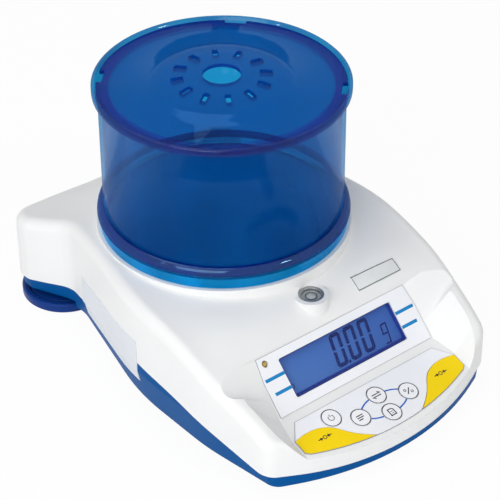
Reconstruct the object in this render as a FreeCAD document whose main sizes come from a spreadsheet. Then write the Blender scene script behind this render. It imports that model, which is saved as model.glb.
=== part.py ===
import FreeCAD, Part
import math
import os
import Sketcher
from FreeCAD import Placement, Rotation, Vector

# Portable precision balance: a white upper case on a blue base, a round pan under a blue draft shield
# with a vented lid, a sloping display and a keypad in front, and two screw feet at the back.
# Frame: +Z up, +X to the operator's right, the front towards -Y, the origin on the table under the middle.
# Lengths are in millimetres.

SIZES = {
    # The case seen from above: a front arc, rounded front corners, straight flanks, a waist and two rear lobes.
    "front_radius": 146.4,
    "front_centre_y": 21.15,
    "front_tangent_x": 60.0,
    "corner_x": 75.0,
    "corner_radius": 11.0,
    "shoulder_x": 81.9,
    "shoulder_y": -61.25,
    "hip_x": 83.0,
    "hip_y": -4.25,
    "flank_radius": 150.0,
    "waist_x": 63.0,
    "waist_y": 77.75,
    "waist_radius": 22.0,
    "lobe_x": 75.0,
    "lobe_y": 102.75,
    "lobe_side_radius": 8.0,
    "rear_y": 119.75,
    "lobe_corner_radius": 12.5,
    # The white shell and the raised surround of the pan.
    "case_wall": 2.5,
    "ridge_radius": 6.0,
    "pan_y": 20.75,
    "surround_margin": 0.5,
    "deck_top": 70.0,
    "deck_hole_radius": 12.0,
    "post_radius": 4.5,
    "front_post_x": 61.0,
    "front_post_y": -78.75,
    "rear_post_x": 55.0,
    "rear_post_y": 55.25,
    "seam_gap": 0.3,
    # The blue base.
    "base_bottom": 4.0,
    "base_floor": 2.5,
    "base_wall": 2.5,
    "base_flush_z": 24.0,
    "base_flush_inset": 0.1,
    "base_front_inset": 1.2,
    "base_flank_inset": 4.5,
    "base_rear_inset": 2.2,
    "screw_pad_radius": 6.5,
    "screw_pad_rise": 1.5,
    # Fasteners.
    "fit_gap": 0.05,
    "screw_radius": 1.45,
    "screw_head_radius": 3.0,
    "screw_head_height": 1.8,
    "screw_grip": 10.0,
    "cell_screw_radius": 2.45,
    "cell_screw_head_radius": 4.3,
    "cell_screw_head_height": 2.2,
    "cell_screw_reach": 9.0,
    "board_screw_radius": 1.2,
    "board_screw_head_radius": 2.7,
    "board_screw_head_height": 1.8,
    "board_screw_reach": 11.0,
    # Feet.
    "foot_x": 52.0,
    "foot_y": 100.75,
    "foot_radius": 24.5,
    "foot_height": 5.5,
    "foot_edge": 0.8,
    "foot_groove_radius": 20.0,
    "foot_groove_width": 1.6,
    "foot_pocket_gap": 1.0,
    "foot_pocket_top": 8.5,
    "foot_boss_radius": 7.0,
    "foot_boss_height": 15.0,
    "insert_radius": 4.5,
    "insert_length": 12.0,
    "stud_radius": 3.0,
    "stud_seat": 2.0,
    "stud_length": 22.0,
    "front_foot_x": 55.0,
    "front_foot_y": -88.75,
    "front_foot_radius": 6.5,
    # Sloping display and keypad: the two planes meet at the crease.
    "crease_y": -89.45,
    "crease_z": 26.7,
    "display_tilt": 45.0,
    "keypad_tilt": 15.0,
    "recess_rise": 30.0,
    "film_thickness": 0.4,
    "film_top_half": 49.5,
    "film_middle_half": 51.2,
    "film_top": 32.4,
    "film_middle": 20.0,
    "film_bottom": 1.0,
    "window_half_width": 37.7,
    "window_low": 6.2,
    "window_high": 27.9,
    "window_thickness": 1.5,
    "window_gap": 0.3,
    "lcd_margin": 3.0,
    "lcd_thickness": 2.7,
    "backlight_thickness": 3.4,
    "board_thickness": 1.6,
    "display_board_half": 48.0,
    "led_x": -45.6,
    "led_up": 28.8,
    "led_radius": 1.5,
    "led_hole_gap": 0.4,
    # Keypad, in its own plane: across, and down from the crease.
    "keypad_top_half": 46.7,
    "keypad_top": -4.8,
    "keypad_side_half": 54.2,
    "keypad_side_top": -14.4,
    "keypad_side_low": -22.3,
    "keypad_low_half": 52.0,
    "keypad_low": -24.2,
    "keypad_front": -33.4,
    "keypad_film": 0.5,
    "key_radius": 5.3,
    "key_gap": 0.25,
    "key_lift": 0.1,
    "key_length": 3.5,
    "key_travel": 0.4,
    "key_clearance": 0.3,
    "switch_radius": 3.0,
    "switch_height": 1.0,
    "zero_key_x": 39.5,
    "zero_key_down": -20.0,
    "zero_cap_depth": 0.4,
    "zero_stem_radius": 3.0,
    "keypad_board_half": 48.0,
    "keypad_board_top": -5.5,
    "keypad_board_side": -23.0,
    "keypad_board_low_half": 27.0,
    "keypad_board_low": -30.0,
    "keypad_post_inset": 3.0,
    # Spirit level.
    "level_x": -2.4,
    "level_y": -54.0,
    "level_top": 61.5,
    "level_boss_radius": 9.25,
    "level_radius": 6.7,
    "level_depth": 7.0,
    "level_wall": 1.5,
    "level_floor": 2.0,
    # Draft shield and lid.
    "shield_lift": 0.3,
    "shield_pan_gap": 2.0,
    "shield_wall": 2.0,
    "skirt_overhang": 2.1,
    "flange_overhang": 3.5,
    "flange_top": 78.3,
    "flange_height": 1.6,
    "rim_overhang": 3.0,
    "rim_wall": 1.8,
    "rim_top": 154.2,
    "rim_height": 4.1,
    "lid_gap": 0.3,
    "lid_edge_gap": 0.6,
    "lid_thickness": 2.0,
    "dome_radius": 39.0,
    "dome_rise": 5.2,
    "lid_hole_radius": 10.0,
    "vent_ring_radius": 23.0,
    "vent_length": 6.5,
    "vent_width": 3.0,
    "notch_width": 11.4,
    "notch_depth": 3.0,
    # Weighing pan and what carries it.
    "pan_radius": 60.0,
    "pan_top": 77.4,
    "pan_thickness": 1.2,
    "pan_lip": 3.4,
    "pan_hub_wall": 3.2,
    "pan_hub_depth": 4.7,
    "pan_hub_gap": 0.3,
    "support_post_radius": 9.0,
    "support_half_width": 9.0,
    "support_thickness": 6.0,
    "support_foot": 1.5,
    "support_travel_gap": 0.45,
    # Load cell.
    "cell_length": 80.0,
    "cell_half_width": 7.5,
    "cell_bottom": 16.0,
    "cell_height": 22.0,
    "cell_end": 20.0,
    "cell_hole_radius": 6.5,
    "cell_hole_spacing": 20.0,
    "mount_half_width": 14.0,
    "mount_pad_top": 9.0,
    "stop_radius": 2.5,
    "stop_gap": 0.8,
    "stop_boss_radius": 5.0,
    "stop_boss_height": 5.0,
    # Electronics and battery.
    "main_board_half": 38.0,
    "main_board_front": 69.25,
    "main_board_back": 111.25,
    "main_board_bottom": 20.0,
    "board_post_radius": 3.6,
    "board_post_inset": 5.0,
    "chip_height": 3.0,
    "capacitor_height": 9.0,
    "jack_x": -18.0,
    "jack_half_width": 4.5,
    "jack_height": 11.0,
    "jack_depth": 13.5,
    "jack_radius": 4.2,
    "jack_bore_radius": 2.9,
    "port_x": 14.0,
    "port_half_width": 6.0,
    "port_height": 10.8,
    "port_depth": 17.0,
    "socket_gap": 0.3,
    "cell_pack_radius": 6.9,
    "cell_pack_length": 50.0,
    "cell_pack_pitch": 14.0,
    "bay_front": -78.25,
    "bay_half_width": 28.0,
    "cover_gap": 0.3,
    "cover_thickness": 2.2,
    "ribbon_left": 30.5,
    "ribbon_width": 14.0,
    "ribbon_thickness": 0.8,
    # Labels.
    "label_thickness": 0.35,
    "plate_left": 24.0,
    "plate_width": 29.5,
    "plate_front": -61.6,
    "plate_depth": 7.2,
    "sticker_front": -9.75,
    "sticker_back": 60.0,
    "sticker_low": 17.0,
    "sticker_high": 38.5,
    "sticker_slant": -4.8,
}

# Rows of sizes: the height of the case's top at its flanks and along its middle, station by station from
# front to back; the share of the crown that is left, column by column from the middle to the flank, in
# front of the pan and behind it; the seam between case and base; and the recess around display and keypad.
ROWS = {
    "crest_y": [-139.75, -114.25, -98.25, -82.25, -66.25, -59.25, -47.25, -24.25, 0.75, 45.75, 70.75, 95.75, 119.75, 137.25],
    "crest_side": [20.0, 29.5, 39.0, 46.5, 53.0, 55.2, 58.8, 64.5, 67.5, 67.5, 62.5, 56.0, 52.5, 51.0],
    "crest_middle": [20.0, 28.5, 36.0, 43.3, 50.8, 56.6, 63.0, 67.0, 69.0, 69.0, 67.5, 60.0, 49.5, 44.0],
    "crown_x": [0.0, 20.0, 35.0, 50.0, 60.0, 75.0, 97.0],
    "crown_front": [1.0, 0.95, 0.83, 0.65, 0.45, 0.18, 0.0],
    "crown_back": [1.0, 0.97, 0.55, 0.12, 0.02, 0.0, 0.0],
    "seam_y": [-142.75, -129.25, -100.25, -67.25, -29.25, 5.75, 40.75, 70.75, 100.75, 125.75, 137.25],
    "seam_z": [7.2, 8.5, 13.5, 21.5, 28.0, 29.7, 25.5, 19.5, 15.6, 14.5, 14.3],
    "recess_y": [-66.55, -74.25, -82.25, -89.45, -102.75, -139.75],
    "recess_half": [51.0, 52.0, 52.0, 52.5, 55.5, 55.5],
    "recess_spread": [5.0, 3.6, 1.5, 1.05, 0.95, 0.95],
    "key_x": [-29.0, -15.7, 0.6, 0.6, 17.0],
    "key_down": [-12.3, -20.0, -13.3, -25.7, -19.9],
    "zero_edge_x": [11.0, 20.0, 26.9, 32.2, 38.5, 46.2, 57.0],
    "zero_edge_down": [-34.6, -29.4, -23.2, -17.2, -13.9, -13.0, -15.2],
}

KEY_NAMES = ["key_power", "key_left", "key_top", "key_bottom", "key_right"]

document = FreeCAD.newDocument("PrecisionBalance")
sheet = document.addObject("Spreadsheet::Sheet", "sizes")
nodes = []


class Size:
    """A length of the sheet, or sums of such lengths: the number now, and the expression that binds it."""

    def __init__(self, number, text):
        self.number = number
        self.text = text

    def __float__(self):
        return float(self.number)

    def __add__(self, other):
        return Size(float(self) + float(other), "(%s + %s)" % (self.text, words(other)))

    def __radd__(self, other):
        return Size(float(other) + float(self), "(%s + %s)" % (words(other), self.text))

    def __sub__(self, other):
        return Size(float(self) - float(other), "(%s - %s)" % (self.text, words(other)))

    def __rsub__(self, other):
        return Size(float(other) - float(self), "(%s - %s)" % (words(other), self.text))

    def __mul__(self, other):
        return Size(float(self) * float(other), "(%s * %s)" % (self.text, words(other)))

    def __rmul__(self, other):
        return self * other

    def __truediv__(self, other):
        return Size(float(self) / float(other), "(%s / %s)" % (self.text, words(other)))

    def __neg__(self):
        return Size(-float(self), "(0 - %s)" % self.text)


def words(amount):
    return amount.text if isinstance(amount, Size) else repr(float(amount))


class Sheet:
    """Reads every size from the sheet by its name."""

    def __getattr__(self, name):
        if name in ROWS:
            return [self.cell("%s_%d" % (name, place)) for place in range(len(ROWS[name]))]
        return self.cell(name)

    def cell(self, name):
        return Size(sheet.get(name), "sizes." + name)


def fill_sheet():
    """One row of the sheet per size: its name, then its number with that name as alias."""
    named = list(SIZES.items())
    for name, values in ROWS.items():
        named += [("%s_%d" % (name, place), value) for place, value in enumerate(values)]
    for row, (name, value) in enumerate(named, start=1):
        sheet.set("A%d" % row, name)
        sheet.set("B%d" % row, str(value))
        sheet.setAlias("B%d" % row, name)
    document.recompute()


size = Sheet()


def bind(thing, name, amount):
    """Sets a property, or binds it to the sheet where the amount comes from there."""
    if isinstance(amount, Size):
        thing.setExpression(name, amount.text)
    else:
        setattr(thing, name, amount)


def place(thing, x=0.0, y=0.0, z=0.0, turn=None):
    """Puts a piece at a point, turned first by the rotation if one is given."""
    thing.Placement = Placement(Vector(x, y, z), turn or Rotation())
    for axis, amount in zip("xyz", (x, y, z)):
        if isinstance(amount, Size):
            thing.setExpression(".Placement.Base." + axis, amount.text)
    return thing


def node(thing, name):
    thing.Label = name
    nodes.append(thing)
    return thing


def shaped(name, shape, at=None):
    """A node whose shape is worked out here from the sheet's sizes, then placed."""
    piece = document.addObject("Part::Feature", name)
    piece.Shape = shape
    piece.Placement = at or Placement()
    return node(piece, name)


def hold(sketch, kind, edge, amount):
    """Keeps the start of an edge at its distance from the sketch's origin along one axis."""
    along = float(amount)
    if along == 0.0:
        axis = -2 if kind == "DistanceX" else -1
        sketch.addConstraint(Sketcher.Constraint("PointOnObject", edge, 1, axis))
        return
    ends = (-1, 1, edge, 1) if along > 0 else (edge, 1, -1, 1)
    index = sketch.addConstraint(Sketcher.Constraint(kind, *ends, abs(along)))
    if isinstance(amount, Size):
        sketch.setExpression("Constraints[%d]" % index, amount.text if along > 0 else (-amount).text)


def draw_polygon(sketch, points):
    """Closed outline of straight edges, with each corner held at its own distances."""
    first = sketch.GeometryCount
    count = len(points)
    for index, start in enumerate(points):
        end = points[(index + 1) % count]
        sketch.addGeometry(Part.LineSegment(Vector(*start, 0), Vector(*end, 0)), False)
    for index in range(count):
        joint = Sketcher.Constraint("Coincident", first + index, 2, first + (index + 1) % count, 1)
        sketch.addConstraint(joint)
    for index, (across, up) in enumerate(points):
        hold(sketch, "DistanceX", first + index, across)
        hold(sketch, "DistanceY", first + index, up)


def draw_circle(sketch, across, up, radius):
    circle = sketch.addGeometry(Part.Circle(Vector(across, up, 0), Vector(0, 0, 1), float(radius)), False)
    index = sketch.addConstraint(Sketcher.Constraint("Radius", circle, float(radius)))
    sketch.setExpression("Constraints[%d]" % index, words(radius))
    for kind, amount in (("DistanceX", across), ("DistanceY", up)):
        along = float(amount)
        if along == 0.0:
            axis = -2 if kind == "DistanceX" else -1
            sketch.addConstraint(Sketcher.Constraint("PointOnObject", circle, 3, axis))
            continue
        ends = (-1, 1, circle, 3) if along > 0 else (circle, 3, -1, 1)
        index = sketch.addConstraint(Sketcher.Constraint(kind, *ends, abs(along)))
        if isinstance(amount, Size):
            text = amount.text if along > 0 else (-amount).text
            sketch.setExpression("Constraints[%d]" % index, text)


def sketch_on(body, role, name):
    """A sketch on one of the body's own origin planes."""
    sketch = body.newObject("Sketcher::SketchObject", name)
    plane = [item for item in body.Origin.OriginFeatures if item.Role == role][0]
    sketch.AttachmentSupport = (plane, [""])
    sketch.MapMode = "FlatFace"
    return sketch


def turned(name, profile):
    """A round piece: its half profile, given as (radius, height) corners, turned about the body's Z axis."""
    body = document.addObject("PartDesign::Body", name)
    sketch = sketch_on(body, "XZ_Plane", name + "_profile")
    draw_polygon(sketch, profile)
    turn = body.newObject("PartDesign::Revolution", name + "_turn")
    turn.Profile = sketch
    turn.ReferenceAxis = (sketch, ["V_Axis"])
    turn.Angle = 360.0
    body.Tip = turn
    return node(body, name)


def padded(name, outline, thickness, holes=()):
    """A flat piece: an outline in the body's XY plane with round holes, padded along its Z axis."""
    body = document.addObject("PartDesign::Body", name)
    sketch = sketch_on(body, "XY_Plane", name + "_outline")
    draw_polygon(sketch, outline)
    for across, up, radius in holes:
        draw_circle(sketch, across, up, radius)
    pad = body.newObject("PartDesign::Pad", name + "_pad")
    pad.Profile = sketch
    bind(pad, "Length", thickness)
    body.Tip = pad
    return node(body, name)


def rectangle(left, right, low, high):
    return [(left, low), (right, low), (right, high), (left, high)]


def cylinder(radius, low, high, x=0.0, y=0.0):
    """An upright cylinder as a plain shape."""
    return Part.makeCylinder(float(radius), float(high) - float(low), Vector(x, y, low))


def block(left, right, front, back, low, high):
    """A plain box between six faces."""
    spans = (float(right) - float(left), float(back) - float(front), float(high) - float(low))
    return Part.makeBox(*spans, Vector(left, front, low))


def in_plane(shape, tilt):
    """A shape drawn flat at the origin, moved onto the display's or the keypad's plane at the crease."""
    moved = shape.copy()
    moved.Placement = tilted_place(tilt).multiply(moved.Placement)
    return moved


def tilted_place(tilt):
    return Placement(Vector(0, size.crease_y, size.crease_z), Rotation(Vector(1, 0, 0), float(tilt)))


def place_in_plane(thing, tilt, across=0.0, up=0.0, out=0.0):
    """Places a body on the display's or the keypad's plane, by its distances across, up and outward."""
    angle = math.radians(float(tilt))
    y = size.crease_y + up * math.cos(angle) - out * math.sin(angle)
    z = size.crease_z + up * math.sin(angle) + out * math.cos(angle)
    return place(thing, across, y, z, Rotation(Vector(1, 0, 0), float(tilt)))


# The outline of the case

def plan_corners():
    """Corners of the case seen from above, counter-clockwise from the middle of the front, with radii."""
    lean = math.asin(float(size.front_tangent_x) / float(size.front_radius))
    nose_y = float(size.front_centre_y) - float(size.front_radius) / math.cos(lean)
    corner_y = nose_y + float(size.corner_x) * math.tan(lean)
    right = [
        (size.corner_x, corner_y, size.corner_radius),
        (size.shoulder_x, size.shoulder_y, size.flank_radius),
        (size.hip_x, size.hip_y, size.flank_radius),
        (size.waist_x, size.waist_y, size.waist_radius),
        (size.lobe_x, size.lobe_y, size.lobe_side_radius),
        (size.lobe_x, size.rear_y, size.lobe_corner_radius),
    ]
    right = [tuple(float(value) for value in corner) for corner in right]
    left = [(-x, y, radius) for x, y, radius in reversed(right)]
    return [(0.0, nose_y, float(size.front_radius))] + right + left


def moved_in(corners, front, flank, rear):
    """The outline with its front, flank and rear edges moved inward by their own distances."""
    half = [front, flank, flank, flank, rear, rear]
    distances = half + [rear] + half[::-1]
    count = len(corners)
    moved = []
    for index in range(count):
        before = Vector(*corners[index - 1][:2], 0)
        here = Vector(*corners[index][:2], 0)
        after = Vector(*corners[(index + 1) % count][:2], 0)
        first = (here - before).normalize()
        second = (after - here).normalize()
        first_in = Vector(-first.y, first.x, 0) * distances[index - 1]
        second_in = Vector(-second.y, second.x, 0) * distances[index]
        cross = first.x * second.y - first.y * second.x
        gap = (here + second_in) - (before + first_in)
        along = (gap.x * second.y - gap.y * second.x) / cross
        point = before + first_in + first * along
        shift = (distances[index - 1] + distances[index]) / 2
        radius = corners[index][2] + (-shift if cross > 0 else shift)
        moved.append((point.x, point.y, radius))
    return moved


def rounded_edges(corners, height):
    """Straight runs and tangent arcs in turn around the outline, at one height."""
    count = len(corners)
    arcs = []
    for index, (x, y, radius) in enumerate(corners):
        corner = Vector(x, y, height)
        back = (Vector(*corners[index - 1][:2], height) - corner).normalize()
        onward = (Vector(*corners[(index + 1) % count][:2], height) - corner).normalize()
        half = back.getAngle(onward) / 2
        reach = radius / math.tan(half)
        middle = corner + (back + onward).normalize() * (radius / math.sin(half) - radius)
        arcs.append((corner + back * reach, middle, corner + onward * reach))
    edges = []
    for index, (start, middle, end) in enumerate(arcs):
        edges.append(Part.Arc(start, middle, end).toShape())
        edges.append(Part.LineSegment(end, arcs[(index + 1) % count][0]).toShape())
    return edges


def plan_prism(inset, low, high):
    """An upright prism over the case's outline."""
    corners = moved_in(plan_corners(), inset, inset, inset)
    return Part.Face(Part.Wire(rounded_edges(corners, low))).extrude(Vector(0, 0, high - low))


def base_loft(outset, low, high):
    """The tapered body of the base between two heights, made larger by the outset."""
    bottom = moved_in(
        plan_corners(),
        float(size.base_front_inset) - outset,
        float(size.base_flank_inset) - outset,
        float(size.base_rear_inset) - outset,
    )
    flush = float(size.base_flush_inset) - outset
    top = moved_in(plan_corners(), flush, flush, flush)
    wires = [Part.Wire(rounded_edges(bottom, low)), Part.Wire(rounded_edges(top, size.base_flush_z))]
    upright = Part.Face(wires[1]).extrude(Vector(0, 0, high - float(size.base_flush_z)))
    return Part.makeLoft(wires, True, True).fuse(upright)


# The crowned top and the seam

def crown_share(column, y):
    """How much of the crown is left in a column: one row in front of the pan and another behind it."""
    start = float(size.pan_y)
    end = start + float(surround_radius())
    blend = min(max((y - start) / (end - start), 0.0), 1.0)
    return float(size.crown_front[column]) * (1 - blend) + float(size.crown_back[column]) * blend


def crest_solid(drop):
    """Everything below the case's crowned top, with the top lowered by the drop."""
    columns = list(range(len(size.crown_x)))
    across = [(-float(size.crown_x[column]), column) for column in reversed(columns[1:])]
    across += [(float(size.crown_x[column]), column) for column in columns]
    grid = []
    for y, side, middle in zip(size.crest_y, size.crest_side, size.crest_middle):
        row = []
        for x, column in across:
            height = float(side) + (float(middle) - float(side)) * crown_share(column, float(y))
            row.append(Vector(x, y, height - drop))
        grid.append(row)
    surface = Part.BSplineSurface()
    surface.interpolate(grid)
    return surface.toShape().extrude(Vector(0, 0, -2 * float(size.deck_top)))


def seam_side(above, shift=0.0):
    """Everything above the arched seam, or everything below it, with the seam raised by the shift."""
    curve = Part.BSplineCurve()
    curve.interpolate([Vector(0, y, z + shift) for y, z in zip(size.seam_y, size.seam_z)])
    far = 3 * float(size.deck_top) if above else -float(size.deck_top)
    front, back = float(size.seam_y[0]), float(size.seam_y[-1])
    start, end = curve.toShape().Vertexes[0].Point, curve.toShape().Vertexes[-1].Point
    corners = [end, Vector(0, back, far), Vector(0, front, far), start]
    edges = [curve.toShape()] + [Part.LineSegment(a, b).toShape() for a, b in zip(corners, corners[1:])]
    reach = 2 * float(size.hip_x)
    side = Part.Face(Part.Wire(edges)).extrude(Vector(2 * reach, 0, 0))
    side.translate(Vector(-reach, 0, 0))
    return side


# The recess around display and keypad

def recess_floor(y, wall):
    """Height of the recess floor, or of its underside a wall's thickness below."""
    heights = []
    for tilt in (size.display_tilt, size.keypad_tilt):
        angle = math.radians(float(tilt))
        heights.append(float(size.crease_z) + (y - float(size.crease_y)) * math.tan(angle) - wall / math.cos(angle))
    return max(heights)


def crease_of(wall):
    """Where the two planes meet, or their undersides."""
    steep = math.radians(float(size.display_tilt))
    flat = math.radians(float(size.keypad_tilt))
    step = (wall / math.cos(steep) - wall / math.cos(flat)) / (math.tan(steep) - math.tan(flat))
    return float(size.crease_y) + step


def recess_solid(wall):
    """The space over display and keypad, with its floor and sides moved out by a wall's thickness."""
    sections = []
    for place_y, half, spread in zip(size.recess_y, size.recess_half, size.recess_spread):
        y = float(place_y)
        if y == float(size.crease_y):
            y = crease_of(wall)
        elif y == float(size.recess_y[0]):
            y += wall
        floor = recess_floor(y, wall)
        low = float(half) + wall / 2
        wide = low + float(spread) * float(size.recess_rise)
        top = floor + float(size.recess_rise)
        points = [Vector(-low, y, floor), Vector(low, y, floor), Vector(wide, y, top), Vector(-wide, y, top)]
        sections.append(Part.makePolygon(points + points[:1]))
    return Part.makeLoft(sections, True, True)


# Outlines in the keypad's plane

def keypad_outline(inset):
    """The keypad film's outline as a face at the origin, moved in by the inset."""
    half_top = float(size.keypad_top_half) - inset
    half_side = float(size.keypad_side_half) - inset
    half_low = float(size.keypad_low_half) - inset
    low = float(size.keypad_low) + inset
    front = float(size.keypad_front) + inset
    top = float(size.keypad_top) - inset
    corners = [
        Vector(half_low, low, 0),
        Vector(half_side, float(size.keypad_side_low), 0),
        Vector(half_side, float(size.keypad_side_top), 0),
        Vector(half_top, top, 0),
        Vector(-half_top, top, 0),
        Vector(-half_side, float(size.keypad_side_top), 0),
        Vector(-half_side, float(size.keypad_side_low), 0),
        Vector(-half_low, low, 0),
    ]
    edges = [Part.LineSegment(a, b).toShape() for a, b in zip(corners, corners[1:])]
    edges.append(Part.Arc(corners[-1], Vector(0, front, 0), corners[0]).toShape())
    return Part.Face(Part.Wire(edges))


def beyond_zero_edge(side, shift):
    """The region past the curved edge of a zero key, on one side, with that edge moved out by the shift."""
    points = []
    for across, down in zip(size.zero_edge_x, size.zero_edge_down):
        points.append(Vector(side * (float(across) + shift), float(down) - shift, 0))
    curve = Part.BSplineCurve()
    curve.interpolate(points)
    far = 2 * float(size.keypad_front)
    corners = [points[-1], Vector(points[-1].x, far, 0), Vector(points[0].x, far, 0), points[0]]
    edges = [curve.toShape()] + [Part.LineSegment(a, b).toShape() for a, b in zip(corners, corners[1:])]
    return Part.Face(Part.Wire(edges))


def zero_key_face(side, inset, shift):
    return keypad_outline(inset).common(beyond_zero_edge(side, shift))


def key_places():
    return list(zip(size.key_x, size.key_down))


def key_switch_places():
    zero = [(side * size.zero_key_x, size.zero_key_down) for side in (-1, 1)]
    return key_places() + zero


def keypad_post_places():
    """Where the case carries the keypad's circuit board."""
    inset = size.keypad_post_inset
    upper = (size.keypad_board_half - inset, size.keypad_board_top - inset)
    lower = (size.keypad_board_low_half - inset / 2, size.keypad_board_low + inset)
    return [(side * x, y) for side in (-1, 1) for x, y in (upper, lower)]


def screw_places():
    """The four screws that hold the case on the base."""
    spots = ((size.front_post_x, size.front_post_y), (size.rear_post_x, size.rear_post_y))
    return [(side * x, y) for side in (-1, 1) for x, y in spots]


def post_foot():
    return size.base_bottom + size.base_floor + size.screw_pad_rise


def shield_radius():
    """Outside of the draft shield's straight wall, which clears the pan all round."""
    return size.pan_radius + size.shield_pan_gap + size.shield_wall


def flange_radius():
    return shield_radius() + size.flange_overhang


def rim_radius():
    return shield_radius() + size.rim_overhang


def rim_inner_radius():
    return rim_radius() - size.rim_wall


def surround_radius():
    """The raised round deck that the draft shield stands on."""
    return flange_radius() + size.surround_margin


def main_board_posts():
    inset = size.board_post_inset
    xs = (size.main_board_half - inset, inset - size.main_board_half)
    return [(x, y) for x in xs for y in (size.main_board_front + inset, size.main_board_back - inset)]


def cell_front():
    return size.pan_y - size.cell_length / 2


def cell_back():
    return size.pan_y + size.cell_length / 2


def cell_screw_places(end):
    """Two screws at one end of the load cell, a quarter of the end's length from its faces."""
    start = cell_front() if end == "live" else cell_back() - size.cell_end
    return [start + size.cell_end * share for share in (0.25, 0.75)]


# The white upper case

def case_blank():
    """The case's outer body above the seam, with its ridge rounded."""
    body = plan_prism(0.0, 0.0, 2 * float(size.deck_top)).common(crest_solid(0.0))
    body = body.Solids[0]
    ridge = []
    for edge in body.Edges:
        ends = [vertex.Point.z for vertex in edge.Vertexes]
        if min(ends) > 1.0 and not isinstance(edge.Curve, Part.Line):
            ridge.append(edge)
    body = body.makeFillet(float(size.ridge_radius), ridge)
    return body.common(seam_side(True))


def case_cavity():
    """The hollow of the case: the same body a wall's thickness in, under the recess and the deck."""
    wall = float(size.case_wall)
    hollow = plan_prism(wall, -1.0, 2 * float(size.deck_top)).common(crest_solid(1.25 * wall))
    hollow = hollow.cut(recess_solid(wall))
    under_deck = cylinder(surround_radius() - wall, 30.0, size.deck_top - wall, 0, size.pan_y)
    return hollow.fuse(under_deck)


def case_additions():
    """The surround of the pan, the boss of the level and the posts inside."""
    surround = cylinder(surround_radius(), 50.0, size.deck_top, 0, size.pan_y)
    boss = cylinder(size.level_boss_radius, 50.0, size.level_top, size.level_x, size.level_y)
    return surround, boss


def keypad_cutters():
    """Openings in the recess floor for the keys and their stems, in the keypad's plane."""
    deep = -3.0 * float(size.case_wall)
    cutters = []
    for across, down in key_places():
        hole = Part.makeCylinder(float(size.key_radius + size.key_gap), 20.0, Vector(across, down, deep))
        cutters.append(hole)
    pocket = float(size.zero_cap_depth + size.key_travel + size.key_clearance)
    for side in (-1, 1):
        face = zero_key_face(side, 0.0, 0.0)
        face.translate(Vector(0, 0, -pocket))
        cutters.append(face.extrude(Vector(0, 0, 20.0)))
        stem_place = Vector(side * size.zero_key_x, size.zero_key_down, deep)
        cutters.append(Part.makeCylinder(float(size.zero_stem_radius + size.key_gap), 20.0, stem_place))
    return [in_plane(cutter, size.keypad_tilt) for cutter in cutters]


def display_cutters():
    """The window and the lamp hole, in the display's plane."""
    deep = -3.0 * float(size.case_wall)
    window = block(-size.window_half_width, size.window_half_width, size.window_low, size.window_high, deep, 10.0)
    lamp_radius = float(size.led_radius + size.led_hole_gap)
    lamp = Part.makeCylinder(lamp_radius, 20.0, Vector(size.led_x, size.led_up, deep))
    return [in_plane(window, size.display_tilt), in_plane(lamp, size.display_tilt)]


def rear_cutters():
    """Openings in the rear wall for the power jack and the data port."""
    bottom = float(size.main_board_bottom + size.board_thickness)
    gap = float(size.socket_gap)
    inside = float(size.rear_y) - 3 * float(size.case_wall)
    jack_centre = Vector(size.jack_x, inside, bottom + float(size.jack_height) / 2)
    jack = Part.makeCylinder(float(size.jack_radius) + gap, 20.0, jack_centre, Vector(0, 1, 0))
    left, right = size.port_x - size.port_half_width, size.port_x + size.port_half_width
    port = block(left - gap, right + gap, inside, inside + 20.0, bottom - gap, bottom + float(size.port_height) + gap)
    return [jack, port]


def make_top_case():
    blank = case_blank()
    surround, boss = case_additions()
    shell = blank.fuse([surround, boss]).cut(case_cavity())
    level_seat = size.level_top - size.level_depth
    inside = crest_solid(float(size.case_wall) / 2)
    posts = [cylinder(size.post_radius, post_foot(), size.deck_top, x, y).common(inside) for x, y in screw_places()]
    level_floor = cylinder(size.level_boss_radius, level_seat - 2, size.level_top, size.level_x, size.level_y)
    shell = shell.fuse(posts + [level_floor])
    cutters = [recess_solid(0.0)]
    cutters.append(cylinder(size.deck_hole_radius, 30.0, 90.0, 0, size.pan_y))
    cutters.append(cylinder(size.level_radius + size.fit_gap, level_seat, 90.0, size.level_x, size.level_y))
    pilot = size.screw_radius + size.fit_gap
    cutters += [cylinder(pilot, 0.0, post_foot() + size.screw_grip + 1.0, x, y) for x, y in screw_places()]
    cutters += keypad_cutters() + display_cutters() + rear_cutters()
    shell = shell.cut(cutters)
    length = float(size.key_length - size.key_lift - size.keypad_film) - float(size.case_wall)
    drop = length + float(size.key_travel + size.key_clearance + size.switch_height)
    stems = []
    for across, down in keypad_post_places():
        low = Vector(across, down, -float(size.case_wall) - drop)
        stems.append(in_plane(Part.makeCylinder(1.8, drop + 1.0, low), size.keypad_tilt))
    shell = shell.fuse(stems).removeSplitter()
    return shaped("top_case", shell)


# The blue base

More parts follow.
